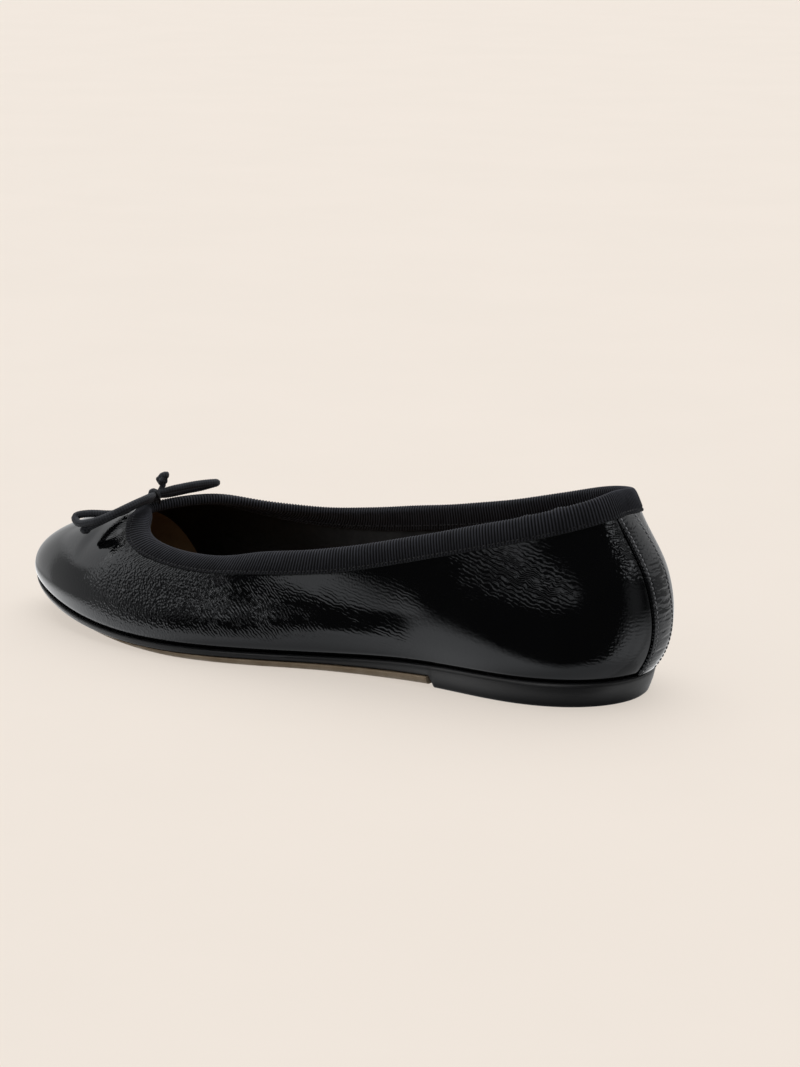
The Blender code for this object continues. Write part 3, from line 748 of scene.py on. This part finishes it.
# %% Rows of stitches
def sew(name, rows, pitch):
    """Copies of the stitch along rows of (points on the seam, points just above it), as one piece."""
    points, faces = [], []
    for line, above in rows:
        run = run_of(line)
        count = int(run[-1] / pitch)
        for at in (np.arange(count) + 0.5) * run[-1] / count:
            here, ahead, top = (np.array([np.interp(at + shift, run, column) for column in source.T])
                                for source, shift in ((line, 0), (line, LOOK_AHEAD), (above, 0)))
            along = (ahead - here) / np.linalg.norm(ahead - here)
            up = top - here
            up = up - along * (up @ along)
            up /= np.linalg.norm(up)
            axes = np.stack([along, np.cross(up, along), up])
            faces += [tuple(len(points) + i for i in face) for face in STITCH_FACES]
            points += list(here + STITCH_POINTS @ axes)
    mesh = bpy.data.meshes.new(name)
    mesh.from_pydata((np.array(points) * MM).tolist(), [], faces)
    thread_shade = np.tile(STITCH_SHADE, len(points) // len(STITCH_SHADE))
    mesh.attributes.new("thread_shade", "FLOAT", "POINT").data.foreach_set("value", thread_shade)
    mesh.shade_smooth()
    piece = bpy.data.objects.new(name, mesh)
    bpy.context.scene.collection.objects.link(piece)
    return piece


SEAM_DROP, SEAM_OUT, SEAM_IN, SEAM_STEPS, RIBBON_STITCH_PITCH = 7.5, 0.66, -2.52, 1200, 1.7
STRIP_SEAM, STRIP_SEAM_OFF, STRIP_STITCH_PITCH = 0.74, 0.84, 1.6
seam_turns = np.linspace(0, 1, SEAM_STEPS)
ribbon_rows = []
for off, side, width in ((SEAM_OUT, 1, binding_width(seam_turns)), (SEAM_IN, -1, np.ones(len(seam_turns)))):
    seam_rises = rise_at(seam_turns, SEAM_DROP * width[:, None])[:, 0]
    flattened = np.interp(seam_turns, ribbon_turns, flush) * max(off, 0)
    off = off - flattened + drawn_in(seam_turns, SEAM_DROP * width)
    ribbon_rows.append((skin(seam_turns, seam_rises, off), skin(seam_turns, seam_rises, off + side)))
ribbon_stitches = sew("ribbon_stitches", ribbon_rows, RIBBON_STITCH_PITCH)
settle(ribbon_stitches, "ribbon")
strip_rows = []
for side in (STRIP_SEAM, -STRIP_SEAM):
    row_turns = ((strip_centre + side * strip_half) / per_turn)[:, 0]
    row_off = STRIP_SEAM_OFF * strip_press[:, 0] + drawn_in(row_turns, STRIP_TOP_DROP + strip_run[:, 0])
    strip_rows.append(tuple(skin(row_turns, strip_rises, row_off + up) for up in (0, 1)))
strip_stitches = sew("heel_strip_stitches", strip_rows, STRIP_STITCH_PITCH)
settle(strip_stitches, "patent")

# %% [markdown]
# ## The sole
# Under the upper runs a thin black edge that grows into the low heel at the back, and below it lies the
# tan outsole. Each is a layer: its edge section is swept round the sole, and strips from side to side
# close its top and bottom. The same helper lays the insole inside.

# %% Layers of the sole
BREAST = 0.27  # front face of the heel, as a share of the sole's length
GAP = 0.3  # between a layer and the next
SOLE_STATIONS = 181
BEVEL_ANGLE = 0.7
EDGE_BOTTOM = ((BREAST, 4.3), (0.45, 2.9), (0.60, 2.5), (0.74, 2.7), (0.86, 5.4), (1.0, 12.0))
TREAD = ((BREAST, 1.1), (0.36, 0.5), (0.46, 0.2), (0.53, 0.0), (0.60, -0.2), (0.66, 0.0), (0.76, 1.2),
         (0.86, 4.2), (1.0, 10.8))
TREAD_INSET = ((0.0, 0.0), (0.70, 0.0), (0.85, 1.6), (1.0, 4.0))
edge_bottom, tread_height, tread_inset = spline(EDGE_BOTTOM), spline(TREAD), spline(TREAD_INSET)


def along_of(points):
    return np.clip(1 - (TOE - points[..., 0]) / SOLE_LENGTH, 0, 1)


def layer_net(alongs, section, top, bottom, crown=0.0):
    """Rows round the outer side and back along the inner one. Each goes from the middle of the top to the
    middle of the bottom. section holds (share of the way down, how far out), each for all the stations."""
    sides = []
    for side in (1, -1):
        turn = turn_at(alongs, side)
        edge = []
        for share, out in section:
            point = feather_line(turn) + outward(turn) * np.broadcast_to(out, alongs.shape)[:, None]
            high, low = top(along_of(point)), bottom(along_of(point))
            point[:, 2] = high + (low - high) * share
            edge.append(point)
        sides.append(edge)
    middle_top, middle_bottom = ((sides[0][k] + sides[1][k]) / 2 for k in (0, -1))
    middle_top[:, 2] += crown
    rows = [np.stack([middle_top, *edge, middle_bottom], 1) for edge in sides]
    return np.concatenate([rows[0], rows[1][::-1]])


def sharpen(piece, angle=0.6, bevel=0.0):
    """Shades smooth except over sharp edges, which may get a fine bevel first."""
    bpy.ops.object.select_all(action="DESELECT")
    piece.select_set(True)
    bpy.context.view_layer.objects.active = piece
    if bevel:
        soften = piece.modifiers.new("edge", "BEVEL")
        soften.width, soften.segments = bevel * MM, 2
        soften.limit_method, soften.angle_limit = "ANGLE", BEVEL_ANGLE
        bpy.ops.object.modifier_apply(modifier=soften.name)
    bpy.ops.object.shade_smooth_by_angle(angle=angle)


# %% Black edge and heel
# Edges of the layers: share of the way down, and how far out from the feather line
RAIL_EDGE = ((0.00, -3.0), (0.00, -0.2), (0.03, 0.3), (0.10, 0.6), (0.22, 0.74), (0.50, 0.66),
             (0.80, 0.50), (0.94, 0.28), (1.00, -0.1), (1.00, -3.0))
HEEL_EDGE = ((0.00, -3.0), (0.00, -0.2), (0.03, 0.3), (0.08, 0.6), (0.16, 0.70), (0.50, 0.10),
             (0.86, -0.95), (0.95, -1.25), (1.00, -1.75), (1.00, -5.0))
BREAST_LEAN = 0.5  # the heel's front face leans by this either way
EDGE_INSET = ((0.0, 0.0), (0.80, 0.0), (0.92, 0.4), (1.0, 1.3))  # the upper hangs over the edge at the toe

stations_along = along_at(np.linspace(0, 0.5, SOLE_STATIONS))
lean = BREAST_LEAN / SOLE_LENGTH
breast_place = np.searchsorted(stations_along, BREAST)
stations_along = np.insert(stations_along, breast_place, [BREAST - lean, BREAST + lean])
on_heel = stations_along < BREAST
inset = spline(EDGE_INSET)(stations_along)
sole_section = [(np.where(on_heel, heel_share, share), np.where(on_heel, heel_out, out - inset))
                for (share, out), (heel_share, heel_out) in zip(RAIL_EDGE, HEEL_EDGE)]
sole = lay_grid("sole_edge_and_heel", layer_net(
    stations_along, sole_section, lambda along: feather_height(along) - GAP,
    lambda along: np.where(on_heel, 0.0, edge_bottom(along))))
sharpen(sole, bevel=0.15)
settle(sole, "sole_edge", "sole")

# %% Tan outsole
OUTSOLE_EDGE = ((0.00, -3.0), (0.00, -0.15), (0.08, 0.0), (0.30, -0.12), (0.55, -0.42), (0.80, -0.95),
                (0.94, -1.5), (1.00, -2.2), (1.00, -6.0))
OUTSOLE_START = BREAST + 1.2 / SOLE_LENGTH
NEXT_STATION = OUTSOLE_START + 0.004
outsole_along = np.append(OUTSOLE_START, stations_along[stations_along > NEXT_STATION])
outsole_section = [(share, out - tread_inset(outsole_along)) for share, out in OUTSOLE_EDGE]
outsole = lay_grid("tan_outsole", layer_net(
    outsole_along, outsole_section, lambda along: edge_bottom(along) - GAP,
    lambda along: np.maximum(tread_height(along), 0.0)))
bpy.ops.object.mode_set(mode="EDIT")
bpy.ops.mesh.select_all(action="DESELECT")
bpy.ops.mesh.select_mode(type="EDGE")
bpy.ops.mesh.select_non_manifold()
bpy.ops.mesh.edge_face_add()
bpy.ops.mesh.select_all(action="SELECT")
bpy.ops.mesh.normals_make_consistent(inside=False)
bpy.ops.object.mode_set(mode="OBJECT")
sharpen(outsole)
settle(outsole, "outsole", "outsole")

# %% Insole
INSOLE_EDGE = ((0.00, -9.0), (0.00, -4.2), (0.00, -2.6), (0.10, -2.1), (0.35, -1.9), (1.00, -2.1),
               (1.00, -6.0))
INSOLE_THICK, INSOLE_DISH = 1.8, -0.5
insole = lay_grid("insole_leather", layer_net(
    along_at(np.linspace(0, 0.5, SOLE_STATIONS)), INSOLE_EDGE,
    lambda along: feather_height(along) + INSOLE_THICK, feather_height, crown=INSOLE_DISH))
sharpen(insole, angle=0.9)
settle(insole, "insole", "insole")

# %% [markdown]
# ## Finishes
# Every finish is a Principled shader with its own relief. What is used again is a node group: wandering
# ripples for the crinkled patent, and a fine grain for all that is leather, cloth or paper.


# %% Node helpers
def add_node(tree, kind, inputs=None, **settings):
    """A node with its settings, and each input either linked or set."""
    made = tree.nodes.new(kind)
    for name, value in settings.items():
        setattr(made, name, value)
    for name, value in (inputs or {}).items():
        if isinstance(value, bpy.types.NodeSocket):
            tree.links.new(value, made.inputs[name])
        else:
            made.inputs[name].default_value = value
    return made


def calc(tree, operation, *values):
    """The result of one sum on sockets or numbers."""
    return add_node(tree, "ShaderNodeMath", dict(enumerate(values)), operation=operation).outputs[0]


def fade(tree, value, low, high, start=0.0, end=1.0):
    """A soft step of a socket from low to high."""
    return add_node(tree, "ShaderNodeMapRange", {
        "Value": value, "From Min": low, "From Max": high, "To Min": start, "To Max": end},
        interpolation_type="SMOOTHSTEP").outputs["Result"]


def new_group(name, inputs, outputs):
    """An empty node group with float or vector sockets, and its two end nodes."""
    group = bpy.data.node_groups.new(name, "ShaderNodeTree")
    for socket, kind in inputs.items():
        group.interface.new_socket(socket, in_out="INPUT", socket_type=kind)
    for socket in outputs:
        group.interface.new_socket(socket, in_out="OUTPUT", socket_type="NodeSocketFloat")
    return group, group.nodes.new("NodeGroupInput").outputs, group.nodes.new("NodeGroupOutput").inputs


def use_group(tree, group, **inputs):
    return add_node(tree, "ShaderNodeGroup", inputs, node_tree=group).outputs


def place_of(tree, kind="Object"):
    """Where a point is: on the piece, on its UV map or, as Generated, in the sky."""
    return add_node(tree, "ShaderNodeTexCoord").outputs[kind]


def noise(tree, **inputs):
    return add_node(tree, "ShaderNodeTexNoise", inputs).outputs["Fac"]


def reach_along(tree, vector, direction):
    """How far a vector reaches along a direction."""
    return add_node(tree, "ShaderNodeVectorMath", {0: vector, 1: direction},
                    operation="DOT_PRODUCT").outputs["Value"]


def mask_of(tree, name):
    return add_node(tree, "ShaderNodeAttribute", attribute_name=name).outputs["Fac"]


def new_finish(name, **sockets):
    """A material, its node tree and its shader, with the shader's plain values set."""
    made = bpy.data.materials.new(name)
    made.use_nodes = True
    shader = made.node_tree.nodes["Principled BSDF"]
    for socket, value in sockets.items():
        shader.inputs[socket.replace("_", " ")].default_value = value
    return made, made.node_tree, shader.inputs


def between_colours(tree, share, low, high):
    """A mix of two colours, each a socket or three numbers."""
    low, high = (end if isinstance(end, bpy.types.NodeSocket) else (*end, 1) for end in (low, high))
    return add_node(tree, "ShaderNodeMix", {"Factor": share, "A": low, "B": high},
                    data_type="RGBA").outputs["Result"]


def raise_bumps(tree, shader, height, strength, distance):
    bump = add_node(tree, "ShaderNodeBump", {"Strength": strength, "Distance": distance, "Height": height})
    tree.links.new(bump.outputs["Normal"], shader["Normal"])


# %% Shared groups
VECTOR, FLOAT = "NodeSocketVector", "NodeSocketFloat"
WANDER = 1.9  # how far the ripples stray from straight, in their pitch
BLOTCH = 0.12  # scale of the tone to that of the grain
ripple_group, given, wanted = new_group("ripple", {
    "Flow": FLOAT, "Pitch": FLOAT, "Breaks": FLOAT, "Vector": VECTOR}, ("Height",))
wander = noise(ripple_group, Vector=given["Vector"], Scale=360.0, Detail=1.5)
waves = calc(ripple_group, "MULTIPLY_ADD", wander, WANDER,
             calc(ripple_group, "DIVIDE", given["Flow"], given["Pitch"]))
wave = calc(ripple_group, "SINE", calc(ripple_group, "MULTIPLY", waves, math.tau))
wave = calc(ripple_group, "MULTIPLY_ADD", wave, 0.5, 0.5)
breaks = noise(ripple_group, Vector=given["Vector"], Scale=given["Breaks"], Detail=2.0)
whole = fade(ripple_group, breaks, 0.3, 0.55, 0.35)
ripple_group.links.new(calc(ripple_group, "MULTIPLY", wave, whole), wanted["Height"])

grain_group, given, wanted = new_group("grain", {"Vector": VECTOR, "Size": FLOAT}, ("Height", "Tone"))
cells = add_node(grain_group, "ShaderNodeTexVoronoi", {"Vector": given["Vector"], "Scale": given["Size"]},
                 feature="SMOOTH_F1").outputs["Distance"]
blotches = calc(grain_group, "MULTIPLY", given["Size"], BLOTCH)
tone = noise(grain_group, Vector=given["Vector"], Scale=blotches, Detail=5.0, Roughness=0.6)
grain_group.links.new(cells, wanted["Height"])
grain_group.links.new(tone, wanted["Tone"])
print("groups:", ripple_group.name, grain_group.name)

# %% [markdown]
# ### Black patent
# Patent leather is black leather under a clear glossy film. Where it bends, the film crinkles into fine
# wavy lines about a millimetre apart that run back and down. Over the vamp it is pebbled, and round the
# throat it gathers at right angles to the binding. The lines are far finer than the grid, so they are
# relief in the finish, stronger where the masks say. The film is not evenly glossy either: handling
# leaves it a little dull.

# %% Patent
ACROSS_STEEP = (790.0, 0.0, -610.0)  # across the steep ripples of the ball, from metres to millimetres
ROUND = (0.0, 1000.0, 0.0)  # round the shoe on the UV map, in millimetres too
UNEVEN, FILM_RELIEF = 0.22, 0.00009
patent, tree, shader = new_finish("black_patent", IOR=1.5, Specular_Tint=(0.93, 0.96, 1.0, 1))
shape, sheet = place_of(tree), place_of(tree, "UV")
across, around = reach_along(tree, shape, ACROSS_STEEP), reach_along(tree, sheet, ROUND)
along = mask_of(tree, "flow")
film = {
    "ripple": use_group(tree, ripple_group, Flow=along, Pitch=1.35, Breaks=320.0, Vector=shape),
    "steep": use_group(tree, ripple_group, Flow=across, Pitch=1.05, Breaks=620.0, Vector=shape),
    "gather": use_group(tree, ripple_group, Flow=around, Pitch=1.1, Breaks=320.0, Vector=sheet),
    "pebble": use_group(tree, grain_group, Vector=shape, Size=1250.0),
}
height = calc(tree, "MULTIPLY", noise(tree, Vector=shape, Scale=900.0, Detail=2.0), UNEVEN)
for name, relief in film.items():
    height = calc(tree, "MULTIPLY_ADD", mask_of(tree, name), relief["Height"], height)
raise_bumps(tree, shader, height, 1.0, FILM_RELIEF)
handled = use_group(tree, grain_group, Vector=shape, Size=420.0)["Tone"]
tree.links.new(fade(tree, handled, 0.3, 0.75, 0.05, 0.12), shader["Roughness"])
tree.links.new(between_colours(tree, handled, (0.0010, 0.0010, 0.0012), (0.0030, 0.0030, 0.0034)),
               shader["Base Color"])

# %% [markdown]
# ### Ribbon, cord and thread
# Grosgrain is matte and shows fine yarns across its ribs. The ribs' crests keep the cloth's colour and
# the gaps between them get painted shade that leaves them black, and so do the gaps of the braid. The
# ribbon's thread is a plain black, and that of the heel strip is waxed, with a painted highlight on its
# crests.

# %% Woven finishes
YARN_RELIEF = 0.00003


def woven(name, mask, gap_shade, crest, yarns, **sockets):
    """A matte weave: painted shade darkens the gaps of its mask, with fine yarns and uneven dye over it."""
    finish, tree, shader = new_finish(name, Sheen_Weight=0.12, Sheen_Roughness=0.4, **sockets)
    dye = use_group(tree, grain_group, Vector=place_of(tree), Size=1500.0)
    # painted shade: where the mask is low the colour falls to the dark gap colour
    share = calc(tree, "MULTIPLY", mask_of(tree, mask), fade(tree, dye["Tone"], 0.2, 0.8, 0.65, 1.15))
    tree.links.new(between_colours(tree, share, gap_shade, crest), shader["Base Color"])
    yarn = add_node(tree, "ShaderNodeTexWave", {
        "Vector": place_of(tree, "UV"), "Scale": yarns, "Distortion": 1.5, "Detail": 1.0},
        bands_direction="X").outputs["Fac"]
    raise_bumps(tree, shader, calc(tree, "MULTIPLY_ADD", dye["Height"], 0.5, yarn), 0.6, YARN_RELIEF)
    return finish


ribbon = woven("grosgrain", "rib", (0.0006, 0.0006, 0.0009), (0.053, 0.055, 0.067), 1250.0,
               Roughness=0.8, Specular_IOR_Level=0.25)
cord = woven("braided_cord", "braid", (0.0020, 0.0021, 0.0028), (0.056, 0.060, 0.072), 1800.0,
             Roughness=0.75)
thread = woven("black_thread", "thread_shade", (0.001, 0.001, 0.0012), (0.009, 0.009, 0.011), 2500.0,
               Roughness=0.5)
# painted highlight: the strip's black thread gets pale crests, so its stitches show as bright specks; it is
# also a little glossier, as waxed thread is
waxed_painted_highlight = woven("waxed_thread_painted_highlight", "thread_shade", (0.010, 0.010, 0.011), (0.300, 0.305, 0.320), 2500.0,
              Roughness=0.3)

# %% [markdown]
# ### Leather that is not patent
# The sole's edge is inked and burnished to a satin, with faint level streaks from the brush, and its
# reflection is dimmed near the floor: painted shade that stands in for the floor's contact shadow. The
# outsole is plain tan leather, the insole a browner one, and the lining a thin black skin with a brown
# part at the toe. All share one grain.


# %% Plain leathers
def leather(name, dark, light, grain, depth, rough, streaks=(1.0, 1.0, 1.0)):
    """A leather finish: its colour and its gloss wander between two values, over a pebble of fine pores."""
    finish, tree, shader = new_finish(name)
    drawn = add_node(tree, "ShaderNodeVectorMath", {0: place_of(tree), 1: streaks},
                     operation="MULTIPLY").outputs[0]
    pores = use_group(tree, grain_group, Vector=drawn, Size=grain)
    colour = between_colours(tree, fade(tree, pores["Tone"], 0.25, 0.75), dark, light)
    tree.links.new(colour, shader["Base Color"])
    tree.links.new(fade(tree, pores["Tone"], 0.2, 0.8, *rough), shader["Roughness"])
    raise_bumps(tree, shader, pores["Height"], 0.7, depth)
    return finish, tree, shader


TOE_SEAM, TOE_SEAM_LEAN = 0.0762, 0.4  # where the seam would meet the floor, and how it leans to the toe
TOE_SEAM_BLEND = 0.0003
# painted shade: below this height the edge's reflection is dimmed, standing in for the floor's contact shadow
REFLECTION_SHADE_HEIGHT = 0.0075  # the edge is duller below this
lining, tree, shader = leather("black_lining", (0.0025, 0.0025, 0.0025), (0.006, 0.0055, 0.005), 1300.0,
                               0.00005, (0.85, 0.65))
place = place_of(tree)
past_seam = calc(tree, "SUBTRACT", reach_along(tree, place, (1.0, 0.0, -TOE_SEAM_LEAN)), TOE_SEAM)
black = shader["Base Color"].links[0].from_socket
tone = use_group(tree, grain_group, Vector=place, Size=1100.0)["Tone"]
brown = between_colours(tree, tone, (0.200, 0.112, 0.050), (0.370, 0.230, 0.108))
colour = between_colours(tree, fade(tree, past_seam, -TOE_SEAM_BLEND, TOE_SEAM_BLEND), black, brown)
tree.links.new(colour, shader["Base Color"])
edge, tree, shader = leather("satin_edge", (0.009, 0.009, 0.0095), (0.017, 0.017, 0.018), 700.0, 0.00002,
                             (0.50, 0.34), streaks=(0.3, 0.3, 1.6))
# painted shade: the specular level fades out towards the floor
height = reach_along(tree, place_of(tree), (0.0, 0.0, 1.0))
tree.links.new(fade(tree, height, 0.0, REFLECTION_SHADE_HEIGHT, 0.04, 0.60), shader["Specular IOR Level"])
tan = leather("sole_leather", (0.28, 0.20, 0.122), (0.43, 0.325, 0.22), 900.0, 0.00004, (0.75, 0.55))[0]
inner = leather("insole_leather", (0.125, 0.060, 0.027), (0.205, 0.108, 0.050), 1100.0, 0.00005,
                (0.65, 0.45))[0]

# %% Finishes put on
for piece, finish in (
        (upper, patent), (upper, lining), (binding, ribbon), (heel_strip, patent), (ribbon_stitches, thread),
        (strip_stitches, waxed_painted_highlight), (sole, edge), (outsole, tan), (insole, inner), (tack, thread)):
    piece.data.materials.append(finish)
for piece in [*bow.values(), *knots]:
    piece.data.materials.append(cord)
print(len(bpy.data.materials), "finishes")

# %% [markdown]
# ## Floor and light
# A pale floor fills the view. It gives off part of its light itself, so that shadows on it are faint, and
# a broad key light and a soft sky light what is matte. What the patent mirrors is set apart and painted
# on the sky by direction: a dim studio with a pale floor, a bright wall beyond the toe, a fainter one
# behind the heel and darkness on the side of the camera. Only glossy reflections see it, and they see
# neither the floor that fills the view nor the key light.

# %% Floor and key light
PALE = (0.88, 0.80, 0.72)
FLOOR_GLOW = 0.65  # share of its light that the floor gives off itself, so that shadows on it are faint
bpy.ops.object.select_all(action="DESELECT")
bpy.ops.mesh.primitive_plane_add(size=16)
floor = bpy.context.object
floor.name = "floor"
floor_finish, tree, shader = new_finish("pale_floor", Roughness=0.9, Emission_Color=(*PALE, 1),
                                        Emission_Strength=FLOOR_GLOW)
floor_finish.cycles.emission_sampling = "NONE"
paper = fade(tree, use_group(tree, grain_group, Vector=place_of(tree), Size=60.0)["Tone"], 0.3, 0.7)
colour = between_colours(tree, paper, (0.258, 0.235, 0.211), (0.270, 0.245, 0.221))
tree.links.new(colour, shader["Base Color"])
floor.data.materials.append(floor_finish)
floor.visible_glossy = floor.visible_diffuse = False

KEY_FROM, KEY_WIDTH, KEY_STRENGTH = Vector((0.25, -0.55, 1.2)), math.radians(75), 2.03
bpy.ops.object.light_add(type="SUN", rotation=(-KEY_FROM).to_track_quat("-Z", "Y").to_euler())
key = bpy.context.object
key.data.angle = KEY_WIDTH
key.data.energy = KEY_STRENGTH
key.visible_glossy = False

# %% Studio seen in the gloss
SKY_LOW, SKY_HIGH = 0.16, 0.56  # what lights cloth and plain leather, from below and from above
UNLIT = 0.03
DARK_FROM, DARK_TO = (24.0, 116.0), (146.0, 178.0)  # azimuths where the camera's side grows dark and pale
HORIZON, HORIZON_DROP, HORIZON_EDGE = -14.0, -31.0, 5.0  # where the floor ends; it drops on the dark side
FLOOR_TO_TOE, FLOOR_BEHIND = (60.0, -20.0, 0.92, 2.05), (-110.0, -35.0, 0.3, 1.0)  # azimuths, then light
# Cards of light: azimuth, half width, soft edge at the sides, low, high, soft edge above and below, glow
CARDS = (
    (0, 45, 24, 11, 60, 13, 1.05),  # wall beyond the toe
    (-22, 18, 12, -14, 30, 10, 0.75),  # its left end
    (29, 9, 12, 5, 36, 11, 1.40),  # window in it
    (10, 30, 16, -24, 14, 8, 0.40),  # its dim foot
    (47, 11, 12, -4, 45, 8, 0.22), (38, 10, 10, -20, 0, 8, 0.22),  # dim wall beside it
    (-66, 50, 24, -14, 35, 10, 0.65),  # pale wall beyond the shoe
    (88, 26, 14, 5.5, 11, 5, 0.80),  # low band of light by the camera
    (92, 18, 12, 24, 50, 10, 1.60),  # lamp over the camera
    (-175, 22, 26, -95, -12, 26, 0.85),  # floor behind the heel
    (178, 12, 20, -20, 14, 10, 0.20),  # wall beside the heel
    (-176, 10, 12, 20, 33, 11, 1.60),  # lamp over that wall
    (-120, 38, 18, -50, -6, 8, 0.75),  # floor behind the shoe
    (-120, 38, 18, 8, 26, 6, 0.75), (-120, 38, 18, -6, 60, 8, 0.32),  # wall there
    (0, 200, 5, 58, 95, 10, 0.90),  # lamp overhead
)
SHADES = (
    (0, 200, 5, -95, -44, 20, 0.42),  # shade under the shoe
)

world = bpy.data.worlds.new("studio")
bpy.context.scene.world = world
world.use_nodes = True
tree = world.node_tree
path = add_node(tree, "ShaderNodeLightPath").outputs
x, y, z = add_node(tree, "ShaderNodeSeparateXYZ", {"Vector": place_of(tree, "Generated")}).outputs
azimuth = calc(tree, "DEGREES", calc(tree, "ARCTAN2", y, x))
elevation = calc(tree, "DEGREES", calc(tree, "ARCSINE", z))


def card(around, half, side_edge, low, high, edge, strength):
    """How strongly a soft-edged card is seen in a direction."""
    turned = calc(tree, "WRAP", calc(tree, "SUBTRACT", azimuth, around), 180.0, -180.0)
    across = fade(tree, calc(tree, "ABSOLUTE", turned), half + side_edge / 2, half - side_edge / 2)
    upright = calc(tree, "MULTIPLY", fade(tree, elevation, low - edge / 2, low + edge / 2),
                   fade(tree, elevation, high + edge / 2, high - edge / 2))
    return calc(tree, "MULTIPLY", calc(tree, "MULTIPLY", across, upright), strength)


def grey(value):
    return add_node(tree, "ShaderNodeCombineColor", dict.fromkeys(("Red", "Green", "Blue"), value)).outputs[0]


# %% Light of that studio
dark_side = calc(tree, "SUBTRACT", fade(tree, azimuth, *DARK_FROM), fade(tree, azimuth, *DARK_TO))
horizon = calc(tree, "MULTIPLY_ADD", dark_side, HORIZON_DROP, HORIZON)
below = fade(tree, calc(tree, "SUBTRACT", elevation, horizon), HORIZON_EDGE, -HORIZON_EDGE)
floor_light = calc(tree, "MULTIPLY", fade(tree, azimuth, *FLOOR_TO_TOE), fade(tree, azimuth, *FLOOR_BEHIND))
glow = calc(tree, "MAXIMUM", UNLIT, calc(tree, "MULTIPLY", floor_light, below))
for place in CARDS:
    glow = calc(tree, "MAXIMUM", glow, card(*place))
for place in SHADES:
    glow = calc(tree, "MULTIPLY", glow, calc(tree, "SUBTRACT", 1.0, card(*place)))
sky = fade(tree, elevation, -25.0, 55.0, SKY_LOW, SKY_HIGH)
light = between_colours(tree, path["Is Glossy Ray"], grey(sky), grey(glow))
seen = between_colours(tree, path["Is Camera Ray"], light, PALE)
tree.links.new(seen, tree.nodes["Background"].inputs["Color"])
world.cycles.sampling_method = "NONE"
bpy.context.scene.view_settings.view_transform = "Standard"
print(len(CARDS), "bright areas in the studio")
